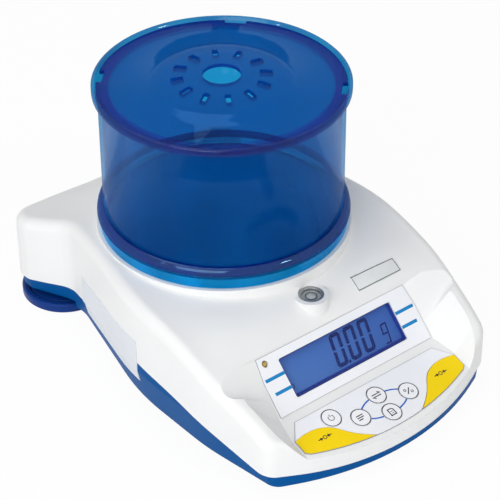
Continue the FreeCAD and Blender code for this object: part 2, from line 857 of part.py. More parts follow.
def make_base():
    bottom, top = float(size.base_bottom), float(size.base_flush_z) + 8.0
    floor = bottom + float(size.base_floor)
    shell = base_loft(0.0, bottom, top)
    hollow = base_loft(-float(size.base_wall), bottom, top)
    above_floor = block(-200, 200, -200, 200, floor, 100)
    pads = [cylinder(size.screw_pad_radius, bottom, post_foot(), x, y) for x, y in screw_places()]
    pads += [cylinder(size.board_post_radius, bottom, size.main_board_bottom, x, y) for x, y in main_board_posts()]
    pad_half = size.mount_half_width + 2.0
    pads.append(block(-pad_half, pad_half, cell_back() - size.cell_end, cell_back(), bottom, size.mount_pad_top))
    stop_x = size.cell_half_width / 2
    stop_y = cell_front() + size.cell_end / 2
    for side in (-1, 1):
        pads.append(cylinder(size.stop_boss_radius, bottom, floor + float(size.stop_boss_height), side * stop_x, stop_y))
        foot_roof = size.foot_pocket_top + size.base_floor
        roof = cylinder(
            size.foot_radius + size.foot_pocket_gap + size.base_wall, bottom, foot_roof, side * size.foot_x, size.foot_y
        )
        pads.append(roof.common(shell))
        boss_top = size.foot_pocket_top + size.foot_boss_height
        pads.append(cylinder(size.foot_boss_radius, bottom, boss_top, side * size.foot_x, size.foot_y))
    shell = shell.cut(hollow.common(above_floor)).fuse(pads)
    cutters = []
    for x, y in screw_places():
        cutters.append(cylinder(size.screw_radius + 0.25, 0.0, 60.0, x, y))
        cutters.append(cylinder(size.screw_head_radius + 0.2, 0.0, screw_seat(), x, y))
    for x, y in main_board_posts():
        cutters.append(cylinder(size.board_screw_radius + size.fit_gap, 8.0, 60.0, x, y))
    for y in cell_screw_places("fixed"):
        cutters.append(cylinder(size.cell_screw_radius + 0.25, 0.0, 30.0, 0, y))
        cutters.append(cylinder(size.cell_screw_head_radius + 0.3, 0.0, cell_screw_seat(), 0, y))
    for side in (-1, 1):
        cutters.append(cylinder(size.stop_radius + size.fit_gap, 5.0, 60.0, side * stop_x, stop_y))
        pocket = cylinder(
            size.foot_radius + size.foot_pocket_gap, 0.0, size.foot_pocket_top, side * size.foot_x, size.foot_y
        )
        cutters.append(pocket)
        cutters.append(cylinder(size.insert_radius + size.fit_gap, 0.0, 60.0, side * size.foot_x, size.foot_y))
    cutters.append(block(-size.bay_half_width, size.bay_half_width, size.bay_front, bay_back(), 0.0, 10.0))
    shell = shell.cut(cutters).common(seam_side(False, -float(size.seam_gap))).removeSplitter()
    return shaped("base", shell)


def bay_back():
    return size.bay_front + 4 * size.cell_pack_pitch + 1.0


def screw_seat():
    return size.base_bottom + size.screw_head_height + 0.4


def cell_screw_seat():
    return size.base_bottom + size.cell_screw_head_height + 0.4


def screws(name, places, radius, head_radius, head_height, seat, reach, up):
    """Equal screws as one group: each head lies on its seat and its shank runs up or down from there."""
    group = []
    for x, y in places:
        head = cylinder(head_radius, 0.0, head_height)
        shank = cylinder(radius, 0.0, reach)
        socket = cylinder(float(head_radius) / 2, 0.0, float(head_height) / 2)
        if up:
            head.translate(Vector(0, 0, float(seat) - float(head_height)))
            shank.translate(Vector(0, 0, float(seat)))
            socket.translate(Vector(0, 0, float(seat) - float(head_height)))
        else:
            head.translate(Vector(0, 0, float(seat)))
            shank.translate(Vector(0, 0, float(seat) - float(reach)))
            socket.translate(Vector(0, 0, float(seat) + float(head_height) / 2))
        screw = head.fuse(shank).cut(socket).removeSplitter()
        screw.translate(Vector(x, y, 0))
        group.append(screw)
    return shaped(name, Part.makeCompound(group))


def make_case_screws():
    reach = post_foot() + size.screw_grip - screw_seat()
    sizes = (size.screw_radius, size.screw_head_radius, size.screw_head_height)
    return screws("case_screws", screw_places(), *sizes, screw_seat(), reach, True)


# Feet

def make_feet():
    """Screw feet at the back, each a disc on a stud in a threaded insert, and two rubber feet in front."""
    radius, height, edge = size.foot_radius, size.foot_height, size.foot_edge
    groove, width = size.foot_groove_radius, size.foot_groove_width
    bore = size.stud_radius + size.fit_gap
    profile = [
        (0.0, 0.0), (radius - edge, 0.0), (radius, edge), (radius, height - edge), (radius - edge, height),
        (groove + width, height), (groove + width, height - 1), (groove, height - 1), (groove, height),
        (bore, height), (bore, size.stud_seat), (0.0, size.stud_seat),
    ]
    stud_low = size.stud_seat + 0.3
    insert_low = size.foot_pocket_top + 0.5
    inserts = []
    for side, word in ((-1, "left"), (1, "right")):
        x = side * size.foot_x
        place(turned("foot_disc_" + word, profile), x, size.foot_y, 0.0)
        stud = [(0.0, 0.0), (size.stud_radius - 0.5, 0.0), (size.stud_radius, 0.5),
                (size.stud_radius, size.stud_length - 0.5), (size.stud_radius - 0.5, size.stud_length),
                (0.0, size.stud_length)]
        place(turned("foot_stud_" + word, stud), x, size.foot_y, stud_low)
        tube = cylinder(size.insert_radius, insert_low, insert_low + size.insert_length, x, size.foot_y)
        inserts.append(tube.cut(cylinder(bore, 0.0, 60.0, x, size.foot_y)))
    shaped("foot_inserts", Part.makeCompound(inserts))
    rubber = []
    for side in (-1, 1):
        foot = cylinder(size.front_foot_radius, 0.0, size.base_bottom, side * size.front_foot_x, size.front_foot_y)
        rubber.append(foot.makeChamfer(0.8, [edge for edge in foot.Edges if edge.BoundBox.ZMax < 0.01]))
    shaped("front_feet", Part.makeCompound(rubber))


# Draft shield, lid and pan

def make_draft_shield():
    """A turned cylinder: a skirt and flange below, a straight wall and a stepped rim that holds the lid."""
    outer, inner = shield_radius(), shield_radius() - size.shield_wall
    flange, rim, rim_inner = flange_radius(), rim_radius(), rim_inner_radius()
    low = size.deck_top + size.shield_lift
    flange_low = size.flange_top - size.flange_height
    ledge = size.rim_top - size.rim_height
    profile = [
        (inner, low), (outer + size.skirt_overhang, low), (flange - 0.2, flange_low),
        (flange, flange_low + 0.5), (flange, size.flange_top - 0.5), (flange - 0.6, size.flange_top),
        (outer + 0.9, size.flange_top + 0.4), (outer, size.flange_top + 1.4),
        (outer, ledge - 1.2), (rim - 0.3, ledge), (rim, ledge + 0.5), (rim, size.rim_top - 0.5),
        (rim - 0.5, size.rim_top), (rim_inner + 0.4, size.rim_top), (rim_inner, size.rim_top - 0.4),
        (rim_inner, ledge), (inner, ledge),
    ]
    return place(turned("draft_shield", profile), 0.0, size.pan_y, 0.0)


def pocket_round(body, draw, count, name):
    """Cuts a sketched opening down through the body and repeats it around the Z axis."""
    sketch = sketch_on(body, "XY_Plane", name + "_outline")
    draw(sketch)
    pocket = body.newObject("PartDesign::Pocket", name)
    pocket.Profile = sketch
    pocket.Type = "ThroughAll"
    pocket.Midplane = True
    ring = body.newObject("PartDesign::PolarPattern", name + "_ring")
    ring.Originals = [pocket]
    ring.Axis = ([item for item in body.Origin.OriginFeatures if item.Role == "Z_Axis"][0], [""])
    ring.Angle = 360.0
    ring.Occurrences = count
    body.Tip = ring


def make_lid():
    """A flat lid with a shallow dome, a finger hole, twelve vents around it and four notches in its edge."""
    edge = rim_inner_radius() - size.lid_edge_gap
    seat = size.rim_top - size.rim_height + size.lid_gap
    thick, rise, dome = size.lid_thickness, size.dome_rise, size.dome_radius
    profile = [
        (size.lid_hole_radius, rise), (dome * 0.55, rise * 0.84), (dome * 0.82, rise * 0.5), (dome - 2.2, rise * 0.1),
        (dome - 1.6, 0.0), (edge, 0.0), (edge, thick), (dome, thick), (dome - 1.0, thick + rise * 0.2),
        (dome * 0.86, thick + rise * 0.55), (dome * 0.58, thick + rise * 0.87), (size.lid_hole_radius, thick + rise),
    ]
    body = turned("shield_lid", profile)
    half_width, half_length = size.vent_width / 2, size.vent_length / 2
    ring = size.vent_ring_radius
    pocket_round(
        body,
        lambda sketch: draw_polygon(sketch, rectangle(ring - half_length, ring + half_length, -half_width, half_width)),
        12,
        "lid_vents",
    )
    document.recompute()
    half = size.notch_width / 2
    diagonal = math.sqrt(0.5)
    inner, outer = edge - size.notch_depth, edge + 2.0
    corners = [(inner, -half), (outer, -half), (outer, half), (inner, half)]
    turned_corners = [((a - b) * diagonal, (a + b) * diagonal) for a, b in corners]
    pocket_round(body, lambda sketch: draw_polygon(sketch, turned_corners), 4, "lid_notches")
    return place(body, 0.0, size.pan_y, seat)


def make_pan():
    """A round tray with a turned-down lip and a hub that drops over the support post."""
    hub_inner = size.support_post_radius + size.pan_hub_gap
    hub_outer = hub_inner + size.pan_hub_wall
    under = size.pan_top - size.pan_thickness
    lip = size.pan_radius - size.pan_thickness
    profile = [
        (0.0, under), (hub_inner, under), (hub_inner, under - size.pan_hub_depth), (hub_outer, under - size.pan_hub_depth),
        (hub_outer, under), (lip, under), (lip, size.pan_top - size.pan_lip), (size.pan_radius, size.pan_top - size.pan_lip),
        (size.pan_radius, size.pan_top - 0.6), (size.pan_radius - 0.6, size.pan_top), (0.0, size.pan_top),
    ]
    return place(turned("weighing_pan", profile), 0.0, size.pan_y, 0.0)


def support_low():
    """Underside of the support's foot, a little above the load cell's live end."""
    return size.cell_bottom + size.cell_height + size.support_travel_gap


def make_pan_support():
    """A plate bolted to the live end of the load cell, with a post under the middle of the pan."""
    low = support_low()
    plate_low = low + size.support_foot
    plate_high = plate_low + size.support_thickness
    foot = block(-size.cell_half_width, size.cell_half_width, cell_front(), cell_front() + size.cell_end, low, plate_low)
    front = cell_front() - 0.5
    plate = block(-size.support_half_width, size.support_half_width, front, size.pan_y + 11.0, plate_low, plate_high)
    post_top = size.pan_top - size.pan_thickness - size.pan_hub_gap
    post = cylinder(size.support_post_radius, plate_low, post_top, 0, size.pan_y)
    holes = [cylinder(size.cell_screw_radius + 0.15, 0.0, 60.0, 0, y) for y in cell_screw_places("live")]
    shaped("pan_support", foot.fuse([plate, post]).cut(holes).removeSplitter())
    places = [(0.0, y) for y in cell_screw_places("live")]
    reach = plate_high - size.cell_bottom - size.cell_height + size.cell_screw_reach
    sizes = (size.cell_screw_radius, size.cell_screw_head_radius, size.cell_screw_head_height)
    screws("support_screws", places, *sizes, plate_high, reach, False)


# Load cell

def make_load_cell():
    """An aluminium beam with a double hole, bolted through a spacer block to the base at its rear end."""
    bottom, top = size.cell_bottom, size.cell_bottom + size.cell_height
    beam = block(-size.cell_half_width, size.cell_half_width, cell_front(), cell_back(), bottom, top)
    middle = (bottom + top) / 2
    cuts = []
    half = size.cell_hole_spacing / 2
    for side in (-1, 1):
        start = Vector(-20, size.pan_y + side * half, middle)
        cuts.append(Part.makeCylinder(float(size.cell_hole_radius), 40.0, start, Vector(1, 0, 0)))
    cuts.append(block(-20, 20, size.pan_y - half, size.pan_y + half, middle - 2.5, middle + 2.5))
    bore = size.cell_screw_radius + size.fit_gap
    cuts += [cylinder(bore, 0.0, bottom + size.cell_screw_reach + 1.0, 0, y) for y in cell_screw_places("fixed")]
    cuts += [cylinder(bore, top - size.cell_screw_reach - 1.0, 80.0, 0, y) for y in cell_screw_places("live")]
    shaped("load_cell", beam.cut(cuts).removeSplitter())
    spacer_front = cell_back() - size.cell_end
    spacer = block(-size.mount_half_width, size.mount_half_width, spacer_front, cell_back(), size.mount_pad_top, bottom)
    holes = [cylinder(size.cell_screw_radius + 0.15, 0.0, 60.0, 0, y) for y in cell_screw_places("fixed")]
    shaped("load_cell_spacer", spacer.cut(holes).removeSplitter())
    places = [(0.0, y) for y in cell_screw_places("fixed")]
    reach = bottom + size.cell_screw_reach - cell_screw_seat()
    sizes = (size.cell_screw_radius, size.cell_screw_head_radius, size.cell_screw_head_height)
    screws("load_cell_screws", places, *sizes, cell_screw_seat(), reach, True)
    stops = []
    for side in (-1, 1):
        x, y = side * size.cell_half_width / 2, cell_front() + size.cell_end / 2
        stops.append(cylinder(size.stop_radius, 5.0, bottom - size.stop_gap, x, y))
    shaped("overload_stops", Part.makeCompound(stops))


# Electronics

def make_main_board():
    half = size.main_board_half
    hole = size.board_screw_radius + 0.25
    outline = rectangle(-half, half, size.main_board_front, size.main_board_back)
    holes = [(x, y, hole) for x, y in main_board_posts()]
    board = padded("main_board", outline, size.board_thickness, holes)
    place(board, 0.0, 0.0, size.main_board_bottom)
    top = size.main_board_bottom + size.board_thickness
    sizes = (size.board_screw_radius, size.board_screw_head_radius, size.board_screw_head_height)
    screws("board_screws", main_board_posts(), *sizes, top, size.board_screw_reach, False)
    front, depth = size.main_board_front, size.main_board_back - size.main_board_front
    chips = []
    for left, right, near, far, height in (
        (-0.8, -0.42, 0.2, 0.52, size.chip_height),
        (-0.16, 0.32, 0.14, 0.43, size.chip_height),
        (0.53, 0.84, 0.29, 0.67, size.capacitor_height),
    ):
        chips.append(block(half * left, half * right, front + depth * near, front + depth * far, top, top + height))
    shaped("board_chips", Part.makeCompound(chips))


def make_power_jack():
    """A square housing on the board with a round nose in the rear wall and a blind bore with a centre pin."""
    low = float(size.main_board_bottom + size.board_thickness)
    back = float(size.rear_y) - float(size.case_wall) - float(size.socket_gap)
    left, right = size.jack_x - size.jack_half_width, size.jack_x + size.jack_half_width
    housing = block(left, right, back - float(size.jack_depth), back, low, low + float(size.jack_height))
    centre = Vector(size.jack_x, back, low + float(size.jack_height) / 2)
    nose = Part.makeCylinder(float(size.jack_radius), float(size.case_wall), centre, Vector(0, 1, 0))
    bore_start = Vector(size.jack_x, back - 8.0, centre.z)
    bore = Part.makeCylinder(float(size.jack_bore_radius), 20.0, bore_start, Vector(0, 1, 0))
    pin = Part.makeCylinder(1.0, 9.0, Vector(size.jack_x, back - 8.5, centre.z), Vector(0, 1, 0))
    shaped("power_jack", housing.fuse(nose).cut(bore).fuse(pin).removeSplitter())


def make_data_port():
    """A square data socket on the board, flush with the rear wall."""
    low = size.main_board_bottom + size.board_thickness
    back = float(size.rear_y) - 0.5
    left, right = size.port_x - size.port_half_width, size.port_x + size.port_half_width
    shell = block(left, right, back - float(size.port_depth), back, low, low + size.port_height)
    mouth = block(left + 1.2, right - 1.2, back - 9.0, back + 1.0, low + 1.2, low + size.port_height - 1.2)
    tongue = block(left + 3.6, right - 3.6, back - 9.5, back - 1.0, low + 3.8, low + size.port_height - 3.8)
    shaped("data_port", shell.cut(mouth).fuse(tongue).removeSplitter())


def make_ribbon():
    """A flat cable along the base floor from the display board to the main board."""
    thick = size.ribbon_thickness
    low = size.base_bottom + size.base_floor + 0.5
    front, back = size.bay_front - 1.5, size.main_board_front - 0.4
    board_top = size.main_board_bottom + size.board_thickness
    outline = [
        (front - thick, 17.5), (front - thick, low), (back, low), (back, board_top), (back - thick, board_top),
        (back - thick, low + thick), (front, low + thick), (front, 17.5),
    ]
    body = document.addObject("PartDesign::Body", "ribbon_cable")
    sketch = sketch_on(body, "YZ_Plane", "ribbon_path")
    draw_polygon(sketch, outline)
    pad = body.newObject("PartDesign::Pad", "ribbon_pad")
    pad.Profile = sketch
    bind(pad, "Length", size.ribbon_width)
    body.Tip = pad
    node(body, "ribbon_cable")
    place(body, size.ribbon_left, 0.0, 0.0)


def make_battery():
    """Four round cells side by side in a bay of the base, and the cover under them."""
    low = size.base_bottom + size.base_floor
    cells = []
    for index in range(4):
        y = size.bay_front + 0.5 + size.cell_pack_pitch * (index + 0.5)
        start = Vector(-size.cell_pack_length / 2, y, low + size.cell_pack_radius)
        cell = Part.makeCylinder(float(size.cell_pack_radius), float(size.cell_pack_length), start, Vector(1, 0, 0))
        cells.append(cell)
    shaped("battery_cells", Part.makeCompound(cells))
    gap = size.cover_gap
    half = size.bay_half_width - gap
    outline = rectangle(-half, half, size.bay_front + gap, bay_back() - gap)
    cover = padded("battery_cover", outline, size.cover_thickness)
    place(cover, 0.0, 0.0, size.base_bottom)


# Display

def make_display():
    """The film, the window, the liquid-crystal glass, its backlight and the board, stacked behind the slope."""
    tilt = size.display_tilt
    top, middle, bottom = size.film_top, size.film_middle, size.film_bottom
    outline = [
        (-size.film_middle_half, bottom), (size.film_middle_half, bottom), (size.film_middle_half, middle),
        (size.film_top_half, top), (-size.film_top_half, top), (-size.film_middle_half, middle),
    ]
    half, low, high = size.window_half_width, size.window_low, size.window_high
    film = document.addObject("PartDesign::Body", "display_film")
    sketch = sketch_on(film, "XY_Plane", "film_outline")
    draw_polygon(sketch, outline)
    draw_polygon(sketch, rectangle(-half, half, low, high))
    draw_circle(sketch, size.led_x, size.led_up, size.led_radius + size.led_hole_gap)
    pad = film.newObject("PartDesign::Pad", "film_pad")
    pad.Profile = sketch
    bind(pad, "Length", size.film_thickness)
    film.Tip = pad
    place_in_plane(node(film, "display_film"), tilt)

    gap = size.window_gap
    window = padded("display_window", rectangle(gap - half, half - gap, low + gap, high - gap), size.window_thickness)
    place_in_plane(window, tilt, out=-size.window_thickness - 0.1)

    margin = size.lcd_margin
    panel = rectangle(-half - margin, half + margin, low - margin, high + margin)
    glass_back = -size.case_wall - 0.2 - size.lcd_thickness
    place_in_plane(padded("lcd_glass", panel, size.lcd_thickness), tilt, out=glass_back)
    light_back = glass_back - size.backlight_thickness
    place_in_plane(padded("lcd_backlight", panel, size.backlight_thickness), tilt, out=light_back)
    board_back = light_back - size.board_thickness
    board_outline = rectangle(-size.display_board_half, size.display_board_half, 0.5, size.film_top)
    place_in_plane(padded("display_board", board_outline, size.board_thickness), tilt, out=board_back)

    lamp_top = 0.2
    length = lamp_top - light_back
    radius = size.led_radius
    lamp = turned(
        "status_lamp",
        [(0.0, 0.0), (radius, 0.0), (radius, length - radius), (radius * 0.7, length - radius * 0.3), (0.0, length)],
    )
    place_in_plane(lamp, tilt, size.led_x, size.led_up, light_back)


# Keypad

def make_keypad():
    """The film with its openings, five round keys, two curved zero keys, and the switches on their board."""
    tilt = size.keypad_tilt
    film = keypad_outline(0.0).extrude(Vector(0, 0, size.keypad_film))
    openings = []
    for across, down in key_places():
        hole_radius = float(size.key_radius + size.key_gap)
        openings.append(Part.makeCylinder(hole_radius, 10.0, Vector(across, down, -5.0)))
    for side in (-1, 1):
        region = beyond_zero_edge(side, 0.0)
        region.translate(Vector(0, 0, -5.0))
        openings.append(region.extrude(Vector(0, 0, 10.0)))
    shaped("keypad_film", film.cut(openings), tilted_place(tilt))

    outside = size.keypad_film + size.key_lift
    for name, (across, down) in zip(KEY_NAMES, key_places()):
        radius, length = size.key_radius, size.key_length
        profile = [(0.0, 0.0), (radius, 0.0), (radius, length - 0.3), (radius - 0.3, length), (0.0, length)]
        place_in_plane(turned(name, profile), tilt, across, down, outside - length)

    for side, name in ((-1, "key_zero_left"), (1, "key_zero_right")):
        cap = zero_key_face(side, 0.1, float(size.key_gap))
        cap.translate(Vector(0, 0, -float(size.zero_cap_depth)))
        cap = cap.extrude(Vector(0, 0, float(size.zero_cap_depth + outside)))
        stem_low = float(outside - size.key_length)
        stem_place = Vector(side * size.zero_key_x, size.zero_key_down, stem_low)
        stem = Part.makeCylinder(float(size.zero_stem_radius), -stem_low, stem_place)
        shaped(name, cap.fuse(stem).removeSplitter(), tilted_place(tilt))

    key_bottom = outside - size.key_length
    switch_top = key_bottom - size.key_travel - size.key_clearance
    board_top = switch_top - size.switch_height
    switches = []
    for across, down in key_switch_places():
        low = Vector(across, down, board_top)
        switches.append(in_plane(Part.makeCylinder(float(size.switch_radius), float(size.switch_height), low), tilt))
    shaped("keypad_switches", Part.makeCompound(switches))
    half, low_half = size.keypad_board_half, size.keypad_board_low_half
    top, side_low, low = size.keypad_board_top, size.keypad_board_side, size.keypad_board_low
    outline = [(-half, top), (-half, side_low), (-low_half, low), (low_half, low), (half, side_low), (half, top)]
    place_in_plane(padded("keypad_board", outline, size.board_thickness), tilt, out=board_top - size.board_thickness)


# Spirit level

def make_level():
    radius, depth = size.level_radius, size.level_depth
    inner = radius - size.level_wall
    floor = size.level_floor
    cup = [(0.0, 0.0), (radius, 0.0), (radius, depth), (inner + 0.3, depth), (inner, depth - 0.3), (inner, floor),
           (0.0, floor)]
    seat = size.level_top - depth + size.key_lift
    place(turned("level_cup", cup), size.level_x, size.level_y, seat)
    lens = inner - size.fit_gap
    height = depth - floor - 0.5
    glass = [(0.0, 0.0), (lens, 0.0), (lens, height - 0.4), (lens - 0.8, height), (0.0, height)]
    place(turned("level_glass", glass), size.level_x, size.level_y, seat + floor)


# Labels

def make_labels():
    """A plate that follows the slope beside the level, and a sticker across the left flank."""
    thick = float(size.label_thickness)
    right, back = size.plate_left + size.plate_width, size.plate_front + size.plate_depth
    area = block(size.plate_left, right, size.plate_front, back, 30.0, 90.0)
    shaped("model_plate", area.common(crest_solid(-thick)).cut(crest_solid(0.0)))

    slant = float(size.sticker_slant)
    front, back = float(size.sticker_front), float(size.sticker_back)
    low, high = float(size.sticker_low), float(size.sticker_high)
    corners = [Vector(-200, front, low), Vector(-200, back, low + slant), Vector(-200, back, high),
               Vector(-200, front, high - slant)]
    area = Part.Face(Part.makePolygon(corners + corners[:1])).extrude(Vector(200, 0, 0))
    white = plan_prism(-thick, 0.0, 90.0).cut(plan_prism(0.0, -1.0, 91.0)).common(seam_side(True))
    bottom, top = float(size.base_bottom), float(size.base_flush_z) + 8.0
    blue = base_loft(thick, bottom, top).cut(base_loft(0.0, bottom, top)).common(seam_side(False))
    sticker = white.common(area).fuse(blue.common(area)).removeSplitter()
    shaped("side_label", sticker)


def check_and_write():
    """Stops on any failed object, then writes each node's shape to its own file."""
    document.recompute()
    for thing in document.Objects:
        if "Invalid" in thing.State or "Error" in thing.State:
            raise RuntimeError("%s is %s" % (thing.Label, thing.State))
    for piece in nodes:
        if piece.Shape.isNull() or not piece.Shape.isValid():
            raise RuntimeError("%s has no valid shape" % piece.Label)
    os.makedirs("parts", exist_ok=True)
    for piece in nodes:
        piece.Shape.exportStep("parts/%s.step" % piece.Label)
        box = piece.Shape.BoundBox
        corners = (box.XMin, box.YMin, box.ZMin, box.XMax, box.YMax, box.ZMax)
        print("%-18s %d solids %10.1f mm3" % (piece.Label, len(piece.Shape.Solids), piece.Shape.Volume),
              " ".join("%.1f" % value for value in corners))


fill_sheet()
make_top_case()
make_base()
make_case_screws()
make_feet()
make_draft_shield()
make_lid()
make_pan()
make_pan_support()
make_load_cell()
make_main_board()
make_power_jack()
make_data_port()
make_ribbon()
make_battery()
make_display()
make_keypad()
make_level()
make_labels()
check_and_write()
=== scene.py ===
# %% [markdown]
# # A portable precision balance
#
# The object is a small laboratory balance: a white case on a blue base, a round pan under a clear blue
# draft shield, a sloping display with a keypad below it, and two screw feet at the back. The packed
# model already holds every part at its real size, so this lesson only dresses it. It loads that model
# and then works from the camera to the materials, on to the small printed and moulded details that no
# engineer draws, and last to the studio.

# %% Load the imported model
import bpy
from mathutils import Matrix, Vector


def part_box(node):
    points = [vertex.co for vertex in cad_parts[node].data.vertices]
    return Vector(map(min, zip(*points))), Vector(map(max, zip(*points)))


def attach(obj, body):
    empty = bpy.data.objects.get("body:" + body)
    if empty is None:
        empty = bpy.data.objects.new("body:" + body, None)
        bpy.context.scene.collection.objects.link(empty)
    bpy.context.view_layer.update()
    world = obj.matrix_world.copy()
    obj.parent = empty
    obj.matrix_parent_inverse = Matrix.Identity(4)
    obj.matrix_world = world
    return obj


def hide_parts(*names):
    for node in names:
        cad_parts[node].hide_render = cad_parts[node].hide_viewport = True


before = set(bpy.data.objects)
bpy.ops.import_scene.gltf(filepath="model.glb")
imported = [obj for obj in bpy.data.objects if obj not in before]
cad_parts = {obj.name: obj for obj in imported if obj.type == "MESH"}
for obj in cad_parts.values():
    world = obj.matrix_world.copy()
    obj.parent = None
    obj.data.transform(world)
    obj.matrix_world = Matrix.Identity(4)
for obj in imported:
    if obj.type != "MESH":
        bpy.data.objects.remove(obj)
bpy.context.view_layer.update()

import math
import bmesh
import bpy
from mathutils import Matrix, Vector
from mathutils.bvhtree import BVHTree

MM = 0.001


def in_mm(metres):
    """Rounded millimetres, for the lines that the cells print."""
    return [round(value / MM, 1) for value in metres]


def new_object(name, data):
    """An object for the data, linked to the scene."""
    made = bpy.data.objects.new(name, data)
    bpy.context.scene.collection.objects.link(made)
    return made


# %% [markdown]
# ## The camera
#
# The picture was taken from the left, in front and above, with a long lens. A camera can be placed by
# its position and a target, but a target always gives an upright picture, and this one leans a little.
# So the camera's three axes are written out: the way it looks, the way its picture points right, and
# the rest follows from cross products.

# %% Place the camera
CAMERA_PLACE = Vector((-0.5397, -0.67245, 0.6817))
CAMERA_AZIMUTH, CAMERA_ELEVATION, CAMERA_LEAN = (math.radians(angle) for angle in (38.8, 35.87, 0.41))
LENS, SENSOR = 144.0, 36.0

looks = Vector((
    math.sin(CAMERA_AZIMUTH) * math.cos(CAMERA_ELEVATION),
    math.cos(CAMERA_AZIMUTH) * math.cos(CAMERA_ELEVATION),
    -math.sin(CAMERA_ELEVATION),
))
level_right = Vector((math.cos(CAMERA_AZIMUTH), -math.sin(CAMERA_AZIMUTH), 0.0))
down = looks.cross(level_right)
right = math.cos(CAMERA_LEAN) * level_right + math.sin(CAMERA_LEAN) * down
up = -looks.cross(right)

camera_data = bpy.data.cameras.new("product_camera")
camera_data.lens = LENS
camera_data.sensor_width = SENSOR
camera_data.sensor_fit = "HORIZONTAL"
camera_data.clip_start, camera_data.clip_end = 0.01, 20.0
camera = new_object("product_camera", camera_data)
turned = Matrix((right, up, -looks)).transposed().to_4x4()
camera.matrix_world = Matrix.Translation(CAMERA_PLACE) @ turned
bpy.context.scene.camera = camera
print("camera looks along", [round(value, 3) for value in looks])

# %% [markdown]
# ## Shader maths as plain expressions
#
# A material is a tree of nodes, and a formula drawn as nodes is hard to read. The class below wraps one
# socket of such a tree and gives it the usual operators, so that `0.4 + 0.1 * grain` adds its own Math
# nodes. Every other node comes from one method, `node`, which sets the node's own settings first and
# then the values or links of its sockets.

# %% A socket that can be calculated with
def operator(operation, swapped=False):
    """A Python operator as a Math node. A swapped one serves for values on its left, as in 1 - mask."""
    def method(self, other):
        return self.maths(operation, *((other, self) if swapped else (self, other)))
    return method


class Wire:
    """The output of a node. Arithmetic on it adds Math nodes to the same recipe."""

    __add__ = __radd__ = operator("ADD")
    __mul__ = __rmul__ = operator("MULTIPLY")
    __sub__, __rsub__ = operator("SUBTRACT"), operator("SUBTRACT", swapped=True)
    __pow__, __gt__, __lt__ = operator("POWER"), operator("GREATER_THAN"), operator("LESS_THAN")

    def __init__(self, recipe, socket):
        self.recipe, self.socket = recipe, socket

    def maths(self, operation, *values, clamp=False):
        sockets = dict(enumerate(values))
        return self.recipe.node("ShaderNodeMath", sockets, operation=operation, use_clamp=clamp)

    def sine(self):
        return self.maths("SINE", self)

    def held(self):
        """The same value, kept between 0 and 1."""
        return self.maths("ADD", self, 0.0, clamp=True)

    def smooth(self, low, high):
        """0 below the low value, 1 above the high one, with a soft step between."""
        sockets = {"Value": self, "From Min": low, "From Max": high}
        return self.recipe.node("ShaderNodeMapRange", sockets, interpolation_type="SMOOTHSTEP")


def add_node(tree, kind, sockets, settings):
    """A new node: its settings first, then the values of its inputs or the links to them."""
    made = tree.nodes.new(kind)
    for name, value in settings.items():
        setattr(made, name, value)
    for name, value in (sockets or {}).items():
        if isinstance(value, bpy.types.NodeSocket):
            tree.links.new(value, made.inputs[name])
        else:
            made.inputs[name].default_value = value
    return made


class Recipe:
    """The nodes of one material, or of the world."""

    def __init__(self, name, kind="Material"):
        self.output = "ShaderNodeOutput" + kind
        self.owner = {"Material": bpy.data.materials, "World": bpy.data.worlds}[kind].new(name)
        self.owner.use_nodes = True
        self.tree = self.owner.node_tree
        self.tree.nodes.clear()

    def node(self, kind, sockets=None, out=0, **settings):
        plugs = {name: value.socket if isinstance(value, Wire) else value
                 for name, value in (sockets or {}).items()}
        return Wire(self, add_node(self.tree, kind, plugs, settings).outputs[out])

    def place(self):
        """Object coordinates, in metres."""
        return self.node("ShaderNodeTexCoord", out="Object")

    def part(self, place, axis):
        return self.node("ShaderNodeSeparateXYZ", {0: place}, out="XYZ".index(axis))

    def axis_distance(self, centre):
        """The distance to the upright axis through a centre."""
        sockets = {"Vector": self.place(), "Location": [-value for value in centre]}
        moved = self.node("ShaderNodeMapping", sockets)
        across, along = self.part(moved, "X"), self.part(moved, "Y")
        return (across * across + along * along) ** 0.5

    def noise(self, place, scale, detail=2.0, roughness=0.5):
        sockets = {"Vector": place, "Scale": scale, "Detail": detail, "Roughness": roughness}
        return self.node("ShaderNodeTexNoise", sockets)

    def stretched(self, place, scale):
        """The same place with its axes scaled one by one, as brushed metal needs."""
        return self.node("ShaderNodeMapping", {"Vector": place, "Scale": scale})

    def mix(self, amount, first, second):
        """A colour between two colours."""
        return self.node("ShaderNodeMix", {0: amount, 6: first, 7: second}, out=2, data_type="RGBA")

    def blend(self, amount, first, second):
        """A surface between two surfaces."""
        return self.node("ShaderNodeMixShader", {0: amount, 1: first, 2: second})

    def bump(self, height, strength, distance, under=None):
        sockets = {"Height": height, "Strength": strength, "Distance": distance}
        if under is not None:
            sockets["Normal"] = under
        return self.node("ShaderNodeBump", sockets)

    def soft_edges(self, radius):
        """A normal that is rounded near sharp edges."""
        return self.node("ShaderNodeBevel", {"Radius": radius}, samples=4)

    def surface(self, **sockets):
        named = {name.replace("_", " "): value for name, value in sockets.items()}
        return self.node("ShaderNodeBsdfPrincipled", named)

    def skin(self, **sockets):
        """A surface as the whole material."""
        return self.finish(self.surface(**sockets))

    def finish(self, surface):
        output = self.tree.nodes.new(self.output)
        self.tree.links.new(surface.socket, output.inputs["Surface"])
        return self.owner


def srgb(red, green, blue):
    """A colour as it is read off a picture, in the linear numbers that a shader wants."""
    def linear(level):
        share = level / 255
        return share / 12.92 if share <= 0.04045 else ((share + 0.055) / 1.055) ** 2.4
    return (linear(red), linear(green), linear(blue), 1.0)


def shaded(colour, factor):
    return tuple(value * factor for value in colour[:3]) + (1.0,)


CASE_WHITE = srgb(240, 241, 241)
print("the white of the case in linear numbers:", [round(value, 3) for value in CASE_WHITE])

